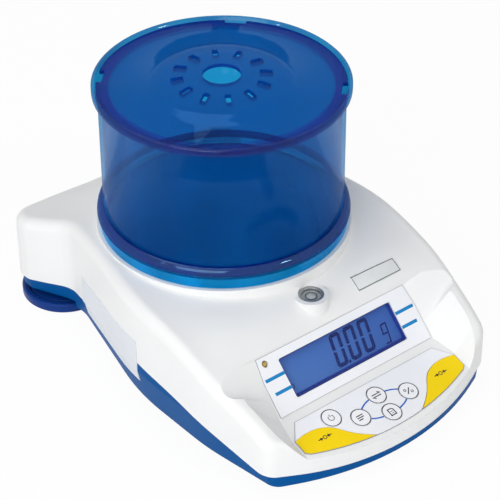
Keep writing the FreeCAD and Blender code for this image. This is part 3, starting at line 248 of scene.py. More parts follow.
# %% [markdown]
# ## Moulded plastic
#
# The case is satin white plastic out of a steel mould. Close up it shows a fine even grain, and across
# the case its gloss drifts a little. The shape is already in the model, so the recipe adds three
# things: a fine noise as bump and roughness, a broad noise as a hint of tone, and rounded normals at
# the edges, because no moulded edge is razor sharp. A noise's scale counts its blobs per metre, so 1500
# gives pores of two thirds of a millimetre, and bump distances are in metres.

# %% White and blue moulded plastic
PORES, DRIFT, PORE_DEPTH, MOULDED_EDGE = 1500.0, 16.0, 0.03 * MM, 0.4 * MM


def moulded(name, colour, roughness, tone=0.97, shine=0.5):
    recipe = Recipe(name)
    place = recipe.place()
    pores = recipe.noise(place, PORES, detail=2.0)
    drift = recipe.noise(place, DRIFT, detail=3.0)
    colour_here = recipe.mix(drift.smooth(0.3, 0.7), shaded(colour, tone), colour)
    rough = roughness + 0.12 * (pores - 0.5) + 0.08 * (drift - 0.5)
    normal = recipe.bump(pores, 0.25, PORE_DEPTH, recipe.soft_edges(MOULDED_EDGE))
    return recipe.skin(Base_Color=colour_here, Roughness=rough, Normal=normal, Specular_IOR_Level=shine)


white_plastic = moulded("white_moulded_plastic", CASE_WHITE, 0.42)
blue_plastic = moulded("blue_moulded_plastic", srgb(0, 84, 152), 0.45, tone=0.93, shine=0.05)
foot_plastic = moulded("dark_blue_moulded_plastic", srgb(10, 56, 132), 0.35, tone=0.9, shine=0.15)
black_plastic = moulded("black_moulded_plastic", srgb(28, 28, 30), 0.45)
plastics = (white_plastic, blue_plastic, foot_plastic, black_plastic)
print("moulded plastics:", [material.name for material in plastics])

# %% [markdown]
# ## Clear blue plastic
#
# The draft shield and its lid are dyed clear plastic. Refracting glass would be the textbook answer,
# but refracted light takes very long to find the pan inside, and its white reflections wash the blue
# out. So the walls let light straight through and tint it at each surface, which also tints what falls
# on the pan. A small share of every surface is a hazy body of the same dye, and it grows where the wall
# turns away from the eye, as thick dye does. The gloss is mixed on last by the same angle. Facing is
# used for both because a Fresnel value turns to full reflection on the inner side of a wall.

# %% One layer of clear plastic: tint, haze and gloss
WHITE, BLUE_SHEEN = (1.0, 1.0, 1.0, 1.0), (0.3, 0.6, 1.0, 1.0)
CLOUDS, SCUFFS, STREAKS = 42.0, 900.0, (34.0, 34.0, 1.5)


def clear_layer(recipe, tint, body, haze, edge_haze, gloss=0.01, edge_gloss=0.2, sheen=BLUE_SHEEN):
    place = recipe.place()
    cloud = recipe.noise(place, CLOUDS, detail=2.0)
    scuff = recipe.noise(place, SCUFFS, detail=3.0)
    # Vertical streaks up the wall are a painted reflection of the soft boxes: they lighten the tone and
    # raise the haze in bands.
    painted_sheen_streaks = recipe.noise(recipe.stretched(place, STREAKS), 1.0, detail=1.0)
    uneven = (0.5 * cloud + 0.5 * painted_sheen_streaks).smooth(0.35, 0.65)
    tone = recipe.mix(uneven, shaded(body, 0.8), shaded(body, 1.15))
    normal = recipe.bump(cloud, 0.02, 0.0002)
    dyed = recipe.surface(
        Base_Color=tone, Roughness=0.35 + 0.1 * scuff, Normal=normal, Specular_IOR_Level=0.1)
    straight = recipe.node("ShaderNodeBsdfTransparent", {"Color": tint + (1.0,)})
    turned = recipe.node("ShaderNodeLayerWeight", {"Blend": 0.5}, out="Facing")
    # The haze grows in the painted reflection streaks and where the wall turns away from the eye.
    share = (haze * (0.3 + 1.4 * painted_sheen_streaks) + edge_haze * turned ** 3.0).held()
    mirror = recipe.surface(
        Base_Color=sheen, Metallic=1.0, Roughness=0.05 + 0.03 * scuff, Normal=normal)
    inside = recipe.blend(share, straight, dyed)
    return recipe.blend(gloss + edge_gloss * turned ** 4.0, inside, mirror)


def see_through(name, tint, body, **shares):
    recipe = Recipe(name)
    return recipe.finish(clear_layer(recipe, tint, body, **shares))


clear_glass = see_through("clear_window_plastic", (0.97, 0.98, 0.99), srgb(210, 220, 240), haze=0.002,
                          edge_haze=0.04, gloss=0.004, edge_gloss=0.15, sheen=WHITE)
print("layer for", clear_glass.name)

# %% [markdown]
# ### Zones of one moulding
#
# Shield and lid are one dye, but thick places look violet and thin ones cyan. The skirt's bright cyan is
# partly its thin wall and partly painted light: its cyan body stands in for the white deck's light
# shining through it. The zones run round the axis, so masks made from the height and from the distance
# to the axis mix one layer into the next.

# %% Shield, lid and the thick collar
DYE, RIM_DYE, THICK_DYE = (0.12, 0.55, 0.77), (0.12, 0.62, 0.84), (0.22, 0.42, 0.74)
SKIRT_DYE, COLLAR_DYE, COLLAR_SHEEN = (0.22, 0.88, 0.97), (0.1, 0.44, 0.76), (0.4, 0.74, 1.0, 1.0)
PAINTED_GLOW_CYAN_BODY, BLUE_BODY, PURPLE_BODY = srgb(0, 168, 242), srgb(0, 92, 176), srgb(22, 42, 146)
PAN_CENTRE = (0.0, 20.75 * MM, 0.0)
FLANGE_HEIGHT, RIM_HEIGHT, LID_RING, RING_FADE = 76.6 * MM, 150.0 * MM, 57.5 * MM, 1.2 * MM


def shield_plastic():
    recipe = Recipe("draft_shield_blue")
    height = recipe.part(recipe.place(), "Z")
    wall = clear_layer(recipe, DYE, BLUE_BODY, haze=0.05, edge_haze=0.4)
    # The skirt's bright cyan body is painted light: the glow of the white deck behind it.
    skirt = clear_layer(recipe, SKIRT_DYE, PAINTED_GLOW_CYAN_BODY, haze=0.34, edge_haze=0.2)
    rim = clear_layer(recipe, RIM_DYE, PURPLE_BODY, haze=0.3, edge_haze=0.2, gloss=0.014,
                      edge_gloss=0.14, sheen=WHITE)
    below = recipe.blend(height < FLANGE_HEIGHT, wall, skirt)
    return recipe.finish(recipe.blend(height > RIM_HEIGHT, below, rim))


def lid_plastic():
    recipe = Recipe("shield_lid_blue")
    on_ring = recipe.axis_distance(PAN_CENTRE).smooth(LID_RING, LID_RING + RING_FADE)
    top = clear_layer(recipe, DYE, BLUE_BODY, haze=0.07, edge_haze=0.2, gloss=0.02)
    ring = clear_layer(recipe, THICK_DYE, PURPLE_BODY, haze=0.35, edge_haze=0.2)
    return recipe.finish(recipe.blend(on_ring, top, ring))


shield_blue, lid_blue = shield_plastic(), lid_plastic()
collar_violet = see_through("shield_collar_violet", COLLAR_DYE, PURPLE_BODY, haze=0.26,
                            edge_haze=0.1, gloss=0.05, edge_gloss=0.1, sheen=COLLAR_SHEEN)
edge_violet = see_through("lid_opening_violet", THICK_DYE, PURPLE_BODY, haze=0.4, edge_haze=0.1)
print("zoned plastics:", shield_blue.name, lid_blue.name)

# %% [markdown]
# ## Metals
#
# The pan is turned steel, so its brushing runs in circles: the noise is read by the distance from the
# axis. The load cell is milled and the screws are plated, and for these a noise stretched along one
# axis gives the tool's marks.

# %% Steel, aluminium, plated steel and brass
def metal(name, colour, roughness, scale, strength=0.3, centre=None):
    recipe = Recipe(name)
    place = recipe.place()
    if centre is None:
        lines = recipe.noise(recipe.stretched(place, scale), 1.0, detail=3.0)
    else:
        ring = recipe.node("ShaderNodeCombineXYZ", {0: recipe.axis_distance(centre) * scale[0]})
        lines = recipe.noise(ring, 1.0, detail=4.0, roughness=0.65)
    stain = recipe.noise(place, 45.0, detail=3.0)
    colour_here = recipe.mix(stain.smooth(0.35, 0.75), colour, shaded(colour, 0.88))
    rough = roughness + 0.16 * (lines - 0.5) + 0.08 * (stain - 0.5)
    normal = recipe.bump(lines, strength, 0.00003, recipe.soft_edges(0.0003))
    return recipe.skin(Base_Color=colour_here, Metallic=1.0, Roughness=rough, Normal=normal)


pan_steel = metal("turned_pan_steel", (0.70, 0.71, 0.72, 1.0), 0.24, (2600.0,), 0.35, PAN_CENTRE)
milled_aluminium = metal("milled_aluminium", (0.76, 0.77, 0.78, 1.0), 0.36, (2500.0, 60.0, 2500.0))
plated_steel = metal("plated_steel", (0.66, 0.65, 0.60, 1.0), 0.3, (900.0, 900.0, 60.0), 0.15)
brass = metal("turned_brass", (0.80, 0.60, 0.28, 1.0), 0.3, (60.0, 60.0, 2500.0), 0.2)
sheet_steel = metal("pressed_sheet_steel", (0.68, 0.69, 0.70, 1.0), 0.28, (60.0, 2400.0, 60.0), 0.12)
dull_steel = metal("dull_level_steel", (0.34, 0.35, 0.36, 1.0), 0.3, (900.0, 900.0, 60.0), 0.1)
metals = (pan_steel, milled_aluminium, plated_steel, brass, sheet_steel, dull_steel)
print("metals:", [material.name for material in metals])

# %% [markdown]
# ## Films, labels, rubber and the parts inside
#
# The display and the keys are printed on polyester film with an even matt grain. The two plates are
# stickers: one brushed silver, one paper. Feet are rubber, the boards are green laminate with a woven
# look under the varnish, and the liquid-crystal glass is a blue that is paler at the left than at the
# right and deeper towards its top.

# %% Printed film, ink and labels
def film(name, colour, roughness=0.5, grain=0.2):
    recipe = Recipe(name)
    place = recipe.place()
    dots = recipe.noise(place, 3800.0, detail=1.0)
    wash = recipe.noise(place, 30.0, detail=2.0)
    colour_here = recipe.mix(wash.smooth(0.3, 0.7), colour, shaded(colour, 0.965))
    normal = recipe.bump(dots, grain, 0.00001)
    rough = roughness + 0.1 * (dots - 0.5)
    return recipe.skin(Base_Color=colour_here, Roughness=rough, Normal=normal, Specular_IOR_Level=0.25)


white_film = film("white_printed_film", srgb(244, 246, 251))
white_key = film("white_key_film", srgb(247, 248, 252))
yellow_film = film("yellow_key_film", srgb(252, 218, 0))
cyan_ink = film("cyan_ink", srgb(0, 132, 196))
blue_ink = film("blue_ink", srgb(0, 96, 190))
black_ink = film("black_ink", srgb(26, 28, 34), 0.6)
grey_ink = film("grey_hairline_ink", srgb(150, 152, 156), 0.6)
navy_segment = film("navy_crystal_segment", srgb(6, 34, 104), 0.6, 0.05)
navy_mask = film("navy_crystal_mask", srgb(34, 62, 152), 0.35, 0.05)
pale_paper = film("pale_label_paper", srgb(226, 230, 236), 0.6, 0.4)
print("films and inks from", white_film.name, "to", pale_paper.name)

# %% Rubber, circuit board, cable, lamp, liquid-crystal glass and light guide
def plain(name, colour, roughness, scale, strength, other=None):
    """A surface with two tones of one colour, and a grain of the given scale."""
    recipe = Recipe(name)
    place = recipe.place()
    grain = recipe.noise(place, scale, detail=3.0)
    colour_here = recipe.mix(grain.smooth(0.35, 0.7), colour, other or shaded(colour, 0.8))
    normal = recipe.bump(grain, strength, 0.00005)
    rough = roughness + 0.15 * (grain - 0.5)
    return recipe.skin(Base_Color=colour_here, Roughness=rough, Normal=normal)


def weave(name, colour, pitch):
    """Laminate: the glass cloth shows through the varnish as a faint check."""
    recipe = Recipe(name)
    place = recipe.place()
    across, along = (recipe.part(place, axis) * (2 * math.pi / pitch) for axis in "XY")
    cloth = across.sine() * along.sine() * 0.5 + 0.5
    blotch = recipe.noise(place, 120.0, detail=3.0)
    share = (cloth * 0.5 + blotch * 0.5).held()
    colour_here = recipe.mix(share, shaded(colour, 0.7), shaded(colour, 1.2))
    normal = recipe.bump(cloth, 0.1, 0.00003)
    return recipe.skin(Base_Color=colour_here, Roughness=0.3 + 0.2 * blotch, Normal=normal)


def crystal(name):
    """Liquid-crystal glass: a blue that is a little paler at the left than near the right edge."""
    recipe = Recipe(name)
    place = recipe.place()
    across = recipe.part(place, "X").smooth(-38 * MM, 38 * MM)
    high = recipe.part(place, "Z").smooth(31 * MM, 46 * MM)
    mottle = recipe.noise(place, 90.0, detail=2.0)
    base = recipe.mix(across, srgb(78, 120, 188), srgb(60, 100, 174))
    colour_here = recipe.mix((0.35 * high + 0.12 * mottle).held(), base, srgb(56, 100, 184))
    normal = recipe.bump(recipe.noise(place, 5000.0, detail=1.0), 0.03, 0.00001)
    rough = 0.3 + 0.08 * mottle
    return recipe.skin(Base_Color=colour_here, Roughness=rough, Normal=normal, Specular_IOR_Level=0.15)


rubber = plain("black_rubber", srgb(38, 38, 40), 0.75, 700.0, 0.3)
board_laminate = weave("green_board_laminate", (0.02, 0.16, 0.06, 1.0), 0.0012)
cable_grey = plain("grey_ribbon_sheath", srgb(176, 178, 182), 0.5, 400.0, 0.2)
amber = plain("amber_lamp_resin", srgb(206, 176, 84), 0.25, 500.0, 0.1, srgb(176, 140, 52))
light_guide = plain("milky_light_guide", srgb(222, 232, 244), 0.4, 200.0, 0.1, srgb(206, 220, 240))
crystal_glass = crystal("blue_crystal_glass")
cell_sleeve = plain("green_cell_sleeve", srgb(34, 120, 70), 0.3, 300.0, 0.05)
silver_sticker = metal("silver_sticker_foil", (0.66, 0.68, 0.69, 1.0), 0.5, (40.0, 1800.0, 40.0), 0.1)
print("materials in all:", len(bpy.data.materials))

# %% [markdown]
# ## Dressing the CAD nodes
#
# A node whose shape is right keeps its mesh and only takes a better material. The table gives one
# finish per node, so a reader can see the whole balance in one place.

# %% One finish for every CAD node
FINISHES = {
    white_plastic: ["top_case"],
    blue_plastic: ["base", "battery_cover"],
    foot_plastic: ["foot_disc_left", "foot_disc_right"],
    shield_blue: ["draft_shield"],
    lid_blue: ["shield_lid"],
    clear_glass: ["display_window"],
    pan_steel: ["weighing_pan"],
    milled_aluminium: ["pan_support", "load_cell", "load_cell_spacer"],
    plated_steel: ["case_screws", "support_screws", "load_cell_screws", "overload_stops", "board_screws",
                   "foot_stud_left", "foot_stud_right"],
    brass: ["foot_inserts"],
    sheet_steel: ["data_port"],
    dull_steel: ["level_cup"],
    rubber: ["front_feet"],
    board_laminate: ["main_board", "display_board", "keypad_board"],
    black_plastic: ["board_chips", "power_jack", "keypad_switches"],
    cable_grey: ["ribbon_cable"],
    cell_sleeve: ["battery_cells"],
    white_film: ["display_film", "keypad_film"],
    crystal_glass: ["lcd_glass"],
    light_guide: ["lcd_backlight", "level_glass"],
    amber: ["status_lamp"],
    white_key: ["key_power", "key_left", "key_top", "key_bottom", "key_right"],
    yellow_film: ["key_zero_left", "key_zero_right"],
    silver_sticker: ["model_plate"],
    pale_paper: ["side_label"],
}


def dress(thing, material):
    thing.data.materials.clear()
    thing.data.materials.append(material)


for material, names in FINISHES.items():
    for name in names:
        dress(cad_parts[name], material)
undressed = set(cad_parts) - {name for names in FINISHES.values() for name in names}
print("nodes without a finish:", sorted(undressed))

# %% [markdown]
# ## The two sloping planes
#
# Display and keypad lie on two planes that meet at a crease. Everything printed on them is easiest to
# place across the plane, up its slope and out of it, so a small class turns such a place into the
# model's frame. The numbers are millimetres from the middle of the crease.

# %% Planes of the display and the keypad
CREASE = Vector((0.0, -89.45, 26.7))


class Slope:
    """A plane through the crease. Called with a place on it, it gives that place in metres."""

    def __init__(self, degrees):
        self.angle = math.radians(degrees)
        self.up = Vector((0.0, math.cos(self.angle), math.sin(self.angle)))
        self.out = Vector((0.0, -math.sin(self.angle), math.cos(self.angle)))

    def __call__(self, across, up, out=0.0):
        return (CREASE + Vector((across, 0.0, 0.0)) + self.up * up + self.out * out) * MM


display = Slope(45.0)
keypad = Slope(15.0)
print("middle of the display:", in_mm(display(0.0, 17.0)))

# %% [markdown]
# ## Printed shapes
#
# Ink on a film could be painted by the material, but a printed edge should stay sharp from close by and
# in any export. So each printed shape is a thin layer of its own: either an outline filled in, or a
# line of even width along a path. Both are built in mesh code with a bottom, a top and sides.

# %% Fill an outline, or follow a path, as a thin layer
MITRE_LIMIT = 0.4


def circle(centre, radius, start=0.0, end=360.0, steps=48):
    """Points round a centre, or along a part of the circle, by angle in degrees."""
    count = steps if end - start >= 360.0 else steps + 1
    turns = [math.radians(start + (end - start) * step / steps) for step in range(count)]
    return [(centre[0] + radius * math.cos(turn), centre[1] + radius * math.sin(turn)) for turn in turns]


def join_rows(mesh, rows, around, along):
    """Quads between neighbouring rows of points. Each direction may run on round to its start."""
    for row in range(len(rows) if along else len(rows) - 1):
        here, there = rows[row], rows[(row + 1) % len(rows)]
        for place in range(len(here) if around else len(here) - 1):
            following = (place + 1) % len(here)
            mesh.faces.new((here[place], here[following], there[following], there[place]))


def add_outline(mesh, outline, to_space, low, high):
    """A closed outline as a prism between two heights. Its faces point outwards."""
    area = sum(a[0] * b[1] - b[0] * a[1] for a, b in zip(outline, outline[1:] + outline[:1]))
    points = outline if area > 0 else outline[::-1]
    under = [mesh.verts.new(to_space(a, b, low)) for a, b in points]
    over = [mesh.verts.new(to_space(a, b, high)) for a, b in points]
    mesh.faces.new(over)
    mesh.faces.new(under[::-1])
    join_rows(mesh, (under, over), around=True, along=False)


def add_line(mesh, path, width, to_space, low, high, closed=False):
    """A line of even width along a path, as a flat ribbon with a thickness."""
    places = [Vector(point) for point in path]
    count = len(places)
    rows = []
    for place, point in enumerate(places):
        before = places[place - 1] if closed or place else None
        after = places[(place + 1) % count] if closed or place < count - 1 else None
        runs = [(point - before).normalized()] if before is not None else []
        runs += [(after - point).normalized()] if after is not None else []
        along = sum(runs, Vector((0.0, 0.0))).normalized()
        side = Vector((-along.y, along.x))
        reach = width / 2 / max(MITRE_LIMIT, abs(runs[0].dot(along)))
        one, other = point + side * reach, point - side * reach
        corners = ((one, low), (one, high), (other, high), (other, low))
        rows.append([mesh.verts.new(to_space(*edge, height)) for edge, height in corners])
    join_rows(mesh, rows, around=True, along=closed)
    if not closed:
        mesh.faces.new(rows[0][::-1])
        mesh.faces.new(rows[-1])


def piece(name, mesh, material, body, replaces=(), smooth_angle=None):
    """Turns a mesh under work into a finished piece that rides on a body."""
    bmesh.ops.recalc_face_normals(mesh, faces=mesh.faces)
    data = bpy.data.meshes.new(name)
    mesh.to_mesh(data)
    mesh.free()
    data.materials.append(material)
    if smooth_angle is not None:
        data.polygons.foreach_set("use_smooth", [True] * len(data.polygons))
        data.set_sharp_from_angle(angle=math.radians(smooth_angle))
    thing = new_object(name, data)
    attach(thing, body)
    if replaces:
        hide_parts(*replaces)
    return thing


def printed(name, material, body, to_space, heights, outlines=(), lines=()):
    """One printed layer between two heights: filled outlines, and lines as (path, width, closed)."""
    mesh = bmesh.new()
    for outline in outlines:
        add_outline(mesh, outline, to_space, *heights)
    for path, width, closed in lines:
        add_line(mesh, path, width, to_space, *heights, closed)
    return piece(name, mesh, material, body)


def strokes(width, closed, *paths):
    """Lines of one width, as a printed layer takes them."""
    return [(path, width, closed) for path in paths]


FILM_TOP, KEYPAD_FILM_TOP, KEY_TOP, GLASS_TOP = 0.4, 0.5, 0.6, -2.7
INK, INK_ROOT = 0.05, 0.02


def inked(surface, layers=1.0):
    """The two heights of ink on a surface. Its foot is sunk in, so that no gap shows."""
    return surface - INK_ROOT, surface + layers * INK


print("ink thickness in millimetres:", INK)

# %% [markdown]
# ## The display's print
#
# The white film round the window carries two cyan bars on each side and a fine line at its border. The
# bars run from the window to near the film's edge, a little shorter below than above.

# %% Bars and border line of the display film
OPENING_HALF, OPENING_LOW, OPENING_HIGH = 37.8, 6.1, 28.0
BAR_HEIGHT, BAR_SLANT = 1.75, 0.22
bars = []
for side in (-1, 1):
    for middle, reach in ((20.6, 50.1), (12.6, 48.2)):
        low, high = middle - BAR_HEIGHT / 2, middle + BAR_HEIGHT / 2
        bars.append([(side * OPENING_HALF, low), (side * (reach - BAR_SLANT), low),
                     (side * reach, high), (side * OPENING_HALF, high)])
printed("display_bars", cyan_ink, "case", display, inked(FILM_TOP), bars)


def hairline(name, plane, edge, middle, growth, width, film_top):
    """A fine line round a film: it starts under the film's foot and ends just below its top."""
    wider = [(across * 1.002, middle + (rise - middle) * growth) for across, rise in edge]
    printed(name, grey_ink, "case", plane, (-0.05, film_top - 0.1),
            lines=strokes(width, True, wider))


film_edge = [(-51.2, 1.0), (51.2, 1.0), (51.2, 20.0), (49.5, 32.4), (-49.5, 32.4), (-51.2, 20.0)]
hairline("display_hairline", display, film_edge, 17.0, 1.006, 0.25, FILM_TOP)
print("bars:", len(bars))

# %% [markdown]
# ## The reading
#
# The liquid-crystal glass shows 0.00 in tall slanted digits and a small unit sign. A digit of such a
# display is built from bars that leave thin gaps at half height, so each zero is two bent bars: one for
# the upper half and one for the lower.

# %% Digits, point and unit sign on the liquid-crystal glass
DIGIT_LOW, DIGIT_HEIGHT, DIGIT_WIDTH, DIGIT_PITCH, DIGIT_STROKE = 9.1, 17.6, 5.1, 9.45, 2.0
DIGIT_SLANT, FIRST_DIGIT, DIGITS = 0.158, -5.3, 3
HALF_GAP, CHAMFER = 0.45, 0.8


def slanted(across, up):
    """A place on the glass, leaning to the right as the digits do."""
    return (across + DIGIT_SLANT * (up - DIGIT_LOW), up)


def zero_halves(left):
    """The two bent bars of a zero, as paths."""
    low, high = DIGIT_LOW + DIGIT_STROKE / 2, DIGIT_LOW + DIGIT_HEIGHT - DIGIT_STROKE / 2
    middle, far = (low + high) / 2, left + DIGIT_WIDTH
    halves = []
    for end, inward in ((high, 1), (low, -1)):
        foot, corner = middle + inward * HALF_GAP, end - inward * CHAMFER
        path = [(left, foot), (left, corner), (left + CHAMFER, end), (far - CHAMFER, end),
                (far, corner), (far, foot)]
        halves.append([slanted(*point) for point in path])
    return halves


digit_lines = []
for number in range(DIGITS):
    digit_lines += strokes(DIGIT_STROKE, False, *zero_halves(FIRST_DIGIT + number * DIGIT_PITCH))
POINT_LEFT, POINT_SIZE = FIRST_DIGIT + DIGIT_WIDTH + 1.15, 1.5
point_box = [slanted(POINT_LEFT + across * POINT_SIZE, DIGIT_LOW + up * POINT_SIZE)
             for across, up in ((0, 0), (1, 0), (1, 1), (0, 1))]
UNIT_LEFT, UNIT_RIGHT, UNIT_LOW, UNIT_MIDDLE, UNIT_HIGH, UNIT_STROKE = 26.6, 29.9, 8.9, 14.0, 19.0, 0.9
unit_path = [slanted(*point) for point in (
    (UNIT_LEFT, UNIT_LOW), (UNIT_RIGHT, UNIT_LOW), (UNIT_RIGHT, UNIT_HIGH), (UNIT_LEFT, UNIT_HIGH),
    (UNIT_LEFT, UNIT_MIDDLE), (UNIT_RIGHT, UNIT_MIDDLE))]
unit_lines = strokes(UNIT_STROKE, False, unit_path[:4], unit_path[3:])
printed("display_reading", navy_segment, "case", display, inked(GLASS_TOP), [point_box],
        digit_lines + unit_lines)
print("reading:", DIGITS, "zeros, each", DIGIT_WIDTH + DIGIT_STROKE, "by", DIGIT_HEIGHT, "mm")

# %% [markdown]
# ### The edge of the glass
#
# A dark mask is printed round the edge of such a glass, and a small plug closes the hole through which
# it was filled. The walls of the window's pocket get a dark lining, and its corners are filled to the
# radius of the opening in the film, which the CAD window leaves square.

# %% Dark mask, fill plug, lining and rounded corners of the window
MASK_LAYERS, PLUG_LAYERS, LINING_TOP, CORNER_FOOT, CORNER_RADIUS = 1.4, 2.0, -0.14, 0.02, 1.6
mask_lines = [  # low, right, high and left edge
    ([(-40.0, 7.05), (40.0, 7.05)], 2.3, False), ([(37.4, 5.0), (37.4, 29.0)], 0.8, False),
    ([(-40.0, 27.6), (40.0, 27.6)], 0.7, False), ([(-37.6, 5.0), (-37.6, 29.0)], 0.5, False)]
printed("display_mask", navy_mask, "case", display, inked(GLASS_TOP, MASK_LAYERS),
        lines=mask_lines)
plug = circle((-35.5, 12.2), 1.1, -90.0, 90.0, 16)
printed("display_fill_plug", navy_segment, "case", display, inked(GLASS_TOP, PLUG_LAYERS),
        lines=strokes(0.4, False, plug))
quarter = circle((0.0, 0.0), CORNER_RADIUS, 0.0, 90.0, 6)
corner_fills = []
for side in (-1, 1):
    for edge, inward in ((OPENING_LOW, 1), (OPENING_HIGH, -1)):
        across, rise = side * (OPENING_HALF - CORNER_RADIUS), edge + inward * CORNER_RADIUS
        corner_fills.append([(side * OPENING_HALF, edge)]
                            + [(across + side * a, rise - inward * b) for a, b in quarter])
printed("display_corners", white_film, "case", display, (CORNER_FOOT, FILM_TOP),
        corner_fills)
lining = [(-37.2, 6.7), (37.2, 6.7), (37.2, 27.4), (-37.2, 27.4)]
printed("display_bezel", navy_mask, "case", display, (GLASS_TOP, LINING_TOP),
        lines=strokes(0.3, True, lining))
print("rounded corners:", len(corner_fills))

# %% [markdown]
# ## Rings round the keys
#
# Every round key has the same printed ring. Geometry Nodes suit such a repeat: one tree draws a ring as
# a circle swept by a flat quadrilateral, and its named inputs hold the sizes and the place. The rings
# are five separate pieces, because each rides on its own key when that is pressed.

# %% A Geometry Nodes tree for a printed ring
def new_tree(name, **inputs):
    """An empty tree with a geometry output, and the sockets of its named inputs."""
    tree = bpy.data.node_groups.new(name, "GeometryNodeTree")
    tree.interface.new_socket("Geometry", in_out="OUTPUT", socket_type="NodeSocketGeometry")
    for label, kind in inputs.items():
        tree.interface.new_socket(label, in_out="INPUT", socket_type="NodeSocket" + kind)
    return tree, tree.nodes.new("NodeGroupInput").outputs


def tree_node(tree, kind, sockets=None, **settings):
    """The first output of a new node."""
    return add_node(tree, kind, sockets, settings).outputs[0]


def end_tree(tree, geometry, material):
    """Every tree ends in Realize Instances and Set Material."""
    real = tree_node(tree, "GeometryNodeRealizeInstances", {"Geometry": geometry})
    painted = tree_node(tree, "GeometryNodeSetMaterial", {"Geometry": real, "Material": material})
    tree.links.new(painted, tree.nodes.new("NodeGroupOutput").inputs[0])


def grown(name, tree, values, body):
    """Runs a tree with its inputs set by their identifiers, and keeps the result as a plain mesh."""
    holder = new_object(name + "_holder", bpy.data.meshes.new(name + "_holder"))
    modifier = holder.modifiers.new("tree", "NODES")
    modifier.node_group = tree
    for item in tree.interface.items_tree:
        if item.item_type == "SOCKET" and item.in_out == "INPUT":
            modifier[item.identifier] = values[item.name]
    bpy.context.view_layer.update()
    graph = bpy.context.evaluated_depsgraph_get()
    data = bpy.data.meshes.new_from_object(
        holder.evaluated_get(graph), preserve_all_data_layers=True, depsgraph=graph)
    holder.modifiers.remove(modifier)
    bpy.data.objects.remove(holder)
    mesh = bmesh.new()
    mesh.from_mesh(data)
    bmesh.ops.remove_doubles(mesh, verts=mesh.verts, dist=1e-7)
    bpy.data.meshes.remove(data)
    return piece(name, mesh, values["Material"], body, smooth_angle=35.0)


ring_tree, given = new_tree("printed_ring", Radius="Float", Line="Float", Thickness="Float",
                            Place="Vector", Turn="Vector", Material="Material")
loop = tree_node(ring_tree, "GeometryNodeCurvePrimitiveCircle",
                 {"Resolution": 72, "Radius": given["Radius"]})
profile = tree_node(ring_tree, "GeometryNodeCurvePrimitiveQuadrilateral",
                    {"Width": given["Line"], "Height": given["Thickness"]})
swept = tree_node(ring_tree, "GeometryNodeCurveToMesh",
                  {"Curve": loop, "Profile Curve": profile, "Fill Caps": False})
laid = tree_node(ring_tree, "GeometryNodeTransform",
                 {"Geometry": swept, "Translation": given["Place"], "Rotation": given["Turn"]})
end_tree(ring_tree, laid, given["Material"])

# %% A ring on every round key
KEY_PLACES = {"key_power": (-29.0, -12.3), "key_left": (-15.7, -20.0), "key_top": (0.6, -13.3),
              "key_bottom": (0.6, -25.7), "key_right": (17.0, -19.9)}
KEY_RADIUS, RING_RADIUS, RING_LINE = 5.3, 5.08, 0.38
for key, (across, along) in KEY_PLACES.items():
    sizes = {"Radius": RING_RADIUS * MM, "Line": RING_LINE * MM, "Thickness": INK * MM,
             "Place": keypad(across, along, KEY_TOP + 0.4 * INK), "Turn": (keypad.angle, 0.0, 0.0),
             "Material": black_ink}
    ring = grown("ring_" + key, ring_tree, sizes, key)
print("faces of a ring:", len(ring.data.polygons))

# %% [markdown]
# ## Marks on the keys
#
# Each key has a plain sign for what it does: a power sign, a set of lines, a pair of arrows, a percent
# sign and a sheet of paper. The yellow keys say zero between two arrows. A sign is a few strokes round
# the middle of its key, so the same strokes can be moved to any key.

# %% Signs on the round keys
def around(centre, paths, scale=1.0):
    """The same paths, scaled and moved to a centre."""
    return [([(centre[0] + a * scale, centre[1] + b * scale) for a, b in path], width, closed)
            for path, width, closed in paths]


BOLD, MEDIUM, THIN, FINE, SIGN_SCALE = 0.55, 0.4, 0.36, 0.3, 1.3
percent_rings = [circle(centre, 0.5, steps=16) for centre in ((-1.25, 0.85), (1.25, -0.85))]
sheet_edge = [(-1.2, -1.5), (1.2, -1.5), (1.2, 0.9), (0.5, 1.5), (-1.2, 1.5)]
SIGNS = {
    "key_power": strokes(THIN, False, circle((0, 0), 1.25, 125.0, 415.0, 24), [(0, 0.5), (0, 1.7)]),
    "key_left": strokes(BOLD, False, [(-1.6, 1.0), (1.6, 1.0)], [(-1.6, 0.0), (1.6, 0.0)],
                        [(-1.6, -1.0), (0.6, -1.0)]),
    "key_top": strokes(BOLD, False, [(-2.0, 0.55), (2.0, 0.55), (1.1, 1.35)],
                       [(2.0, -0.55), (-2.0, -0.55), (-1.1, -1.35)]),
    "key_right": strokes(BOLD, False, [(-1.1, -1.3), (1.1, 1.3)]) + strokes(THIN, True, *percent_rings),
    "key_bottom": strokes(BOLD, True, sheet_edge) + strokes(
        FINE, False, [(-0.6, 0.3), (0.6, 0.3)], [(-0.6, -0.6), (0.6, -0.6)]),
}
for key, sign in SIGNS.items():
    printed("sign_" + key, black_ink, key, keypad, inked(KEY_TOP),
            lines=around(KEY_PLACES[key], sign, SIGN_SCALE))
zero_sign = strokes(MEDIUM, True, circle((0, 0), 1.0, steps=24))
for side in (-1, 1):
    zero_sign += strokes(BOLD, False, [(side * 4.2, 0), (side * 1.9, 0)],
                         [(side * 2.7, 0.75), (side * 1.8, 0), (side * 2.7, -0.75)])
ZERO_PLACES = {"key_zero_left": (-39.5, -20.0), "key_zero_right": (39.5, -20.0)}
for key, centre in ZERO_PLACES.items():
    printed("sign_" + key, black_ink, key, keypad, inked(KEY_TOP),
            lines=around(centre, zero_sign))
print("signs:", len(SIGNS) + len(ZERO_PLACES))

# %% [markdown]
# ## The blue arcs between the keys
#
# A blue oval links four of the round keys. Only the stretches between the keys are printed, so the path
# of the oval is walked once and cut wherever it comes inside a key's ring.

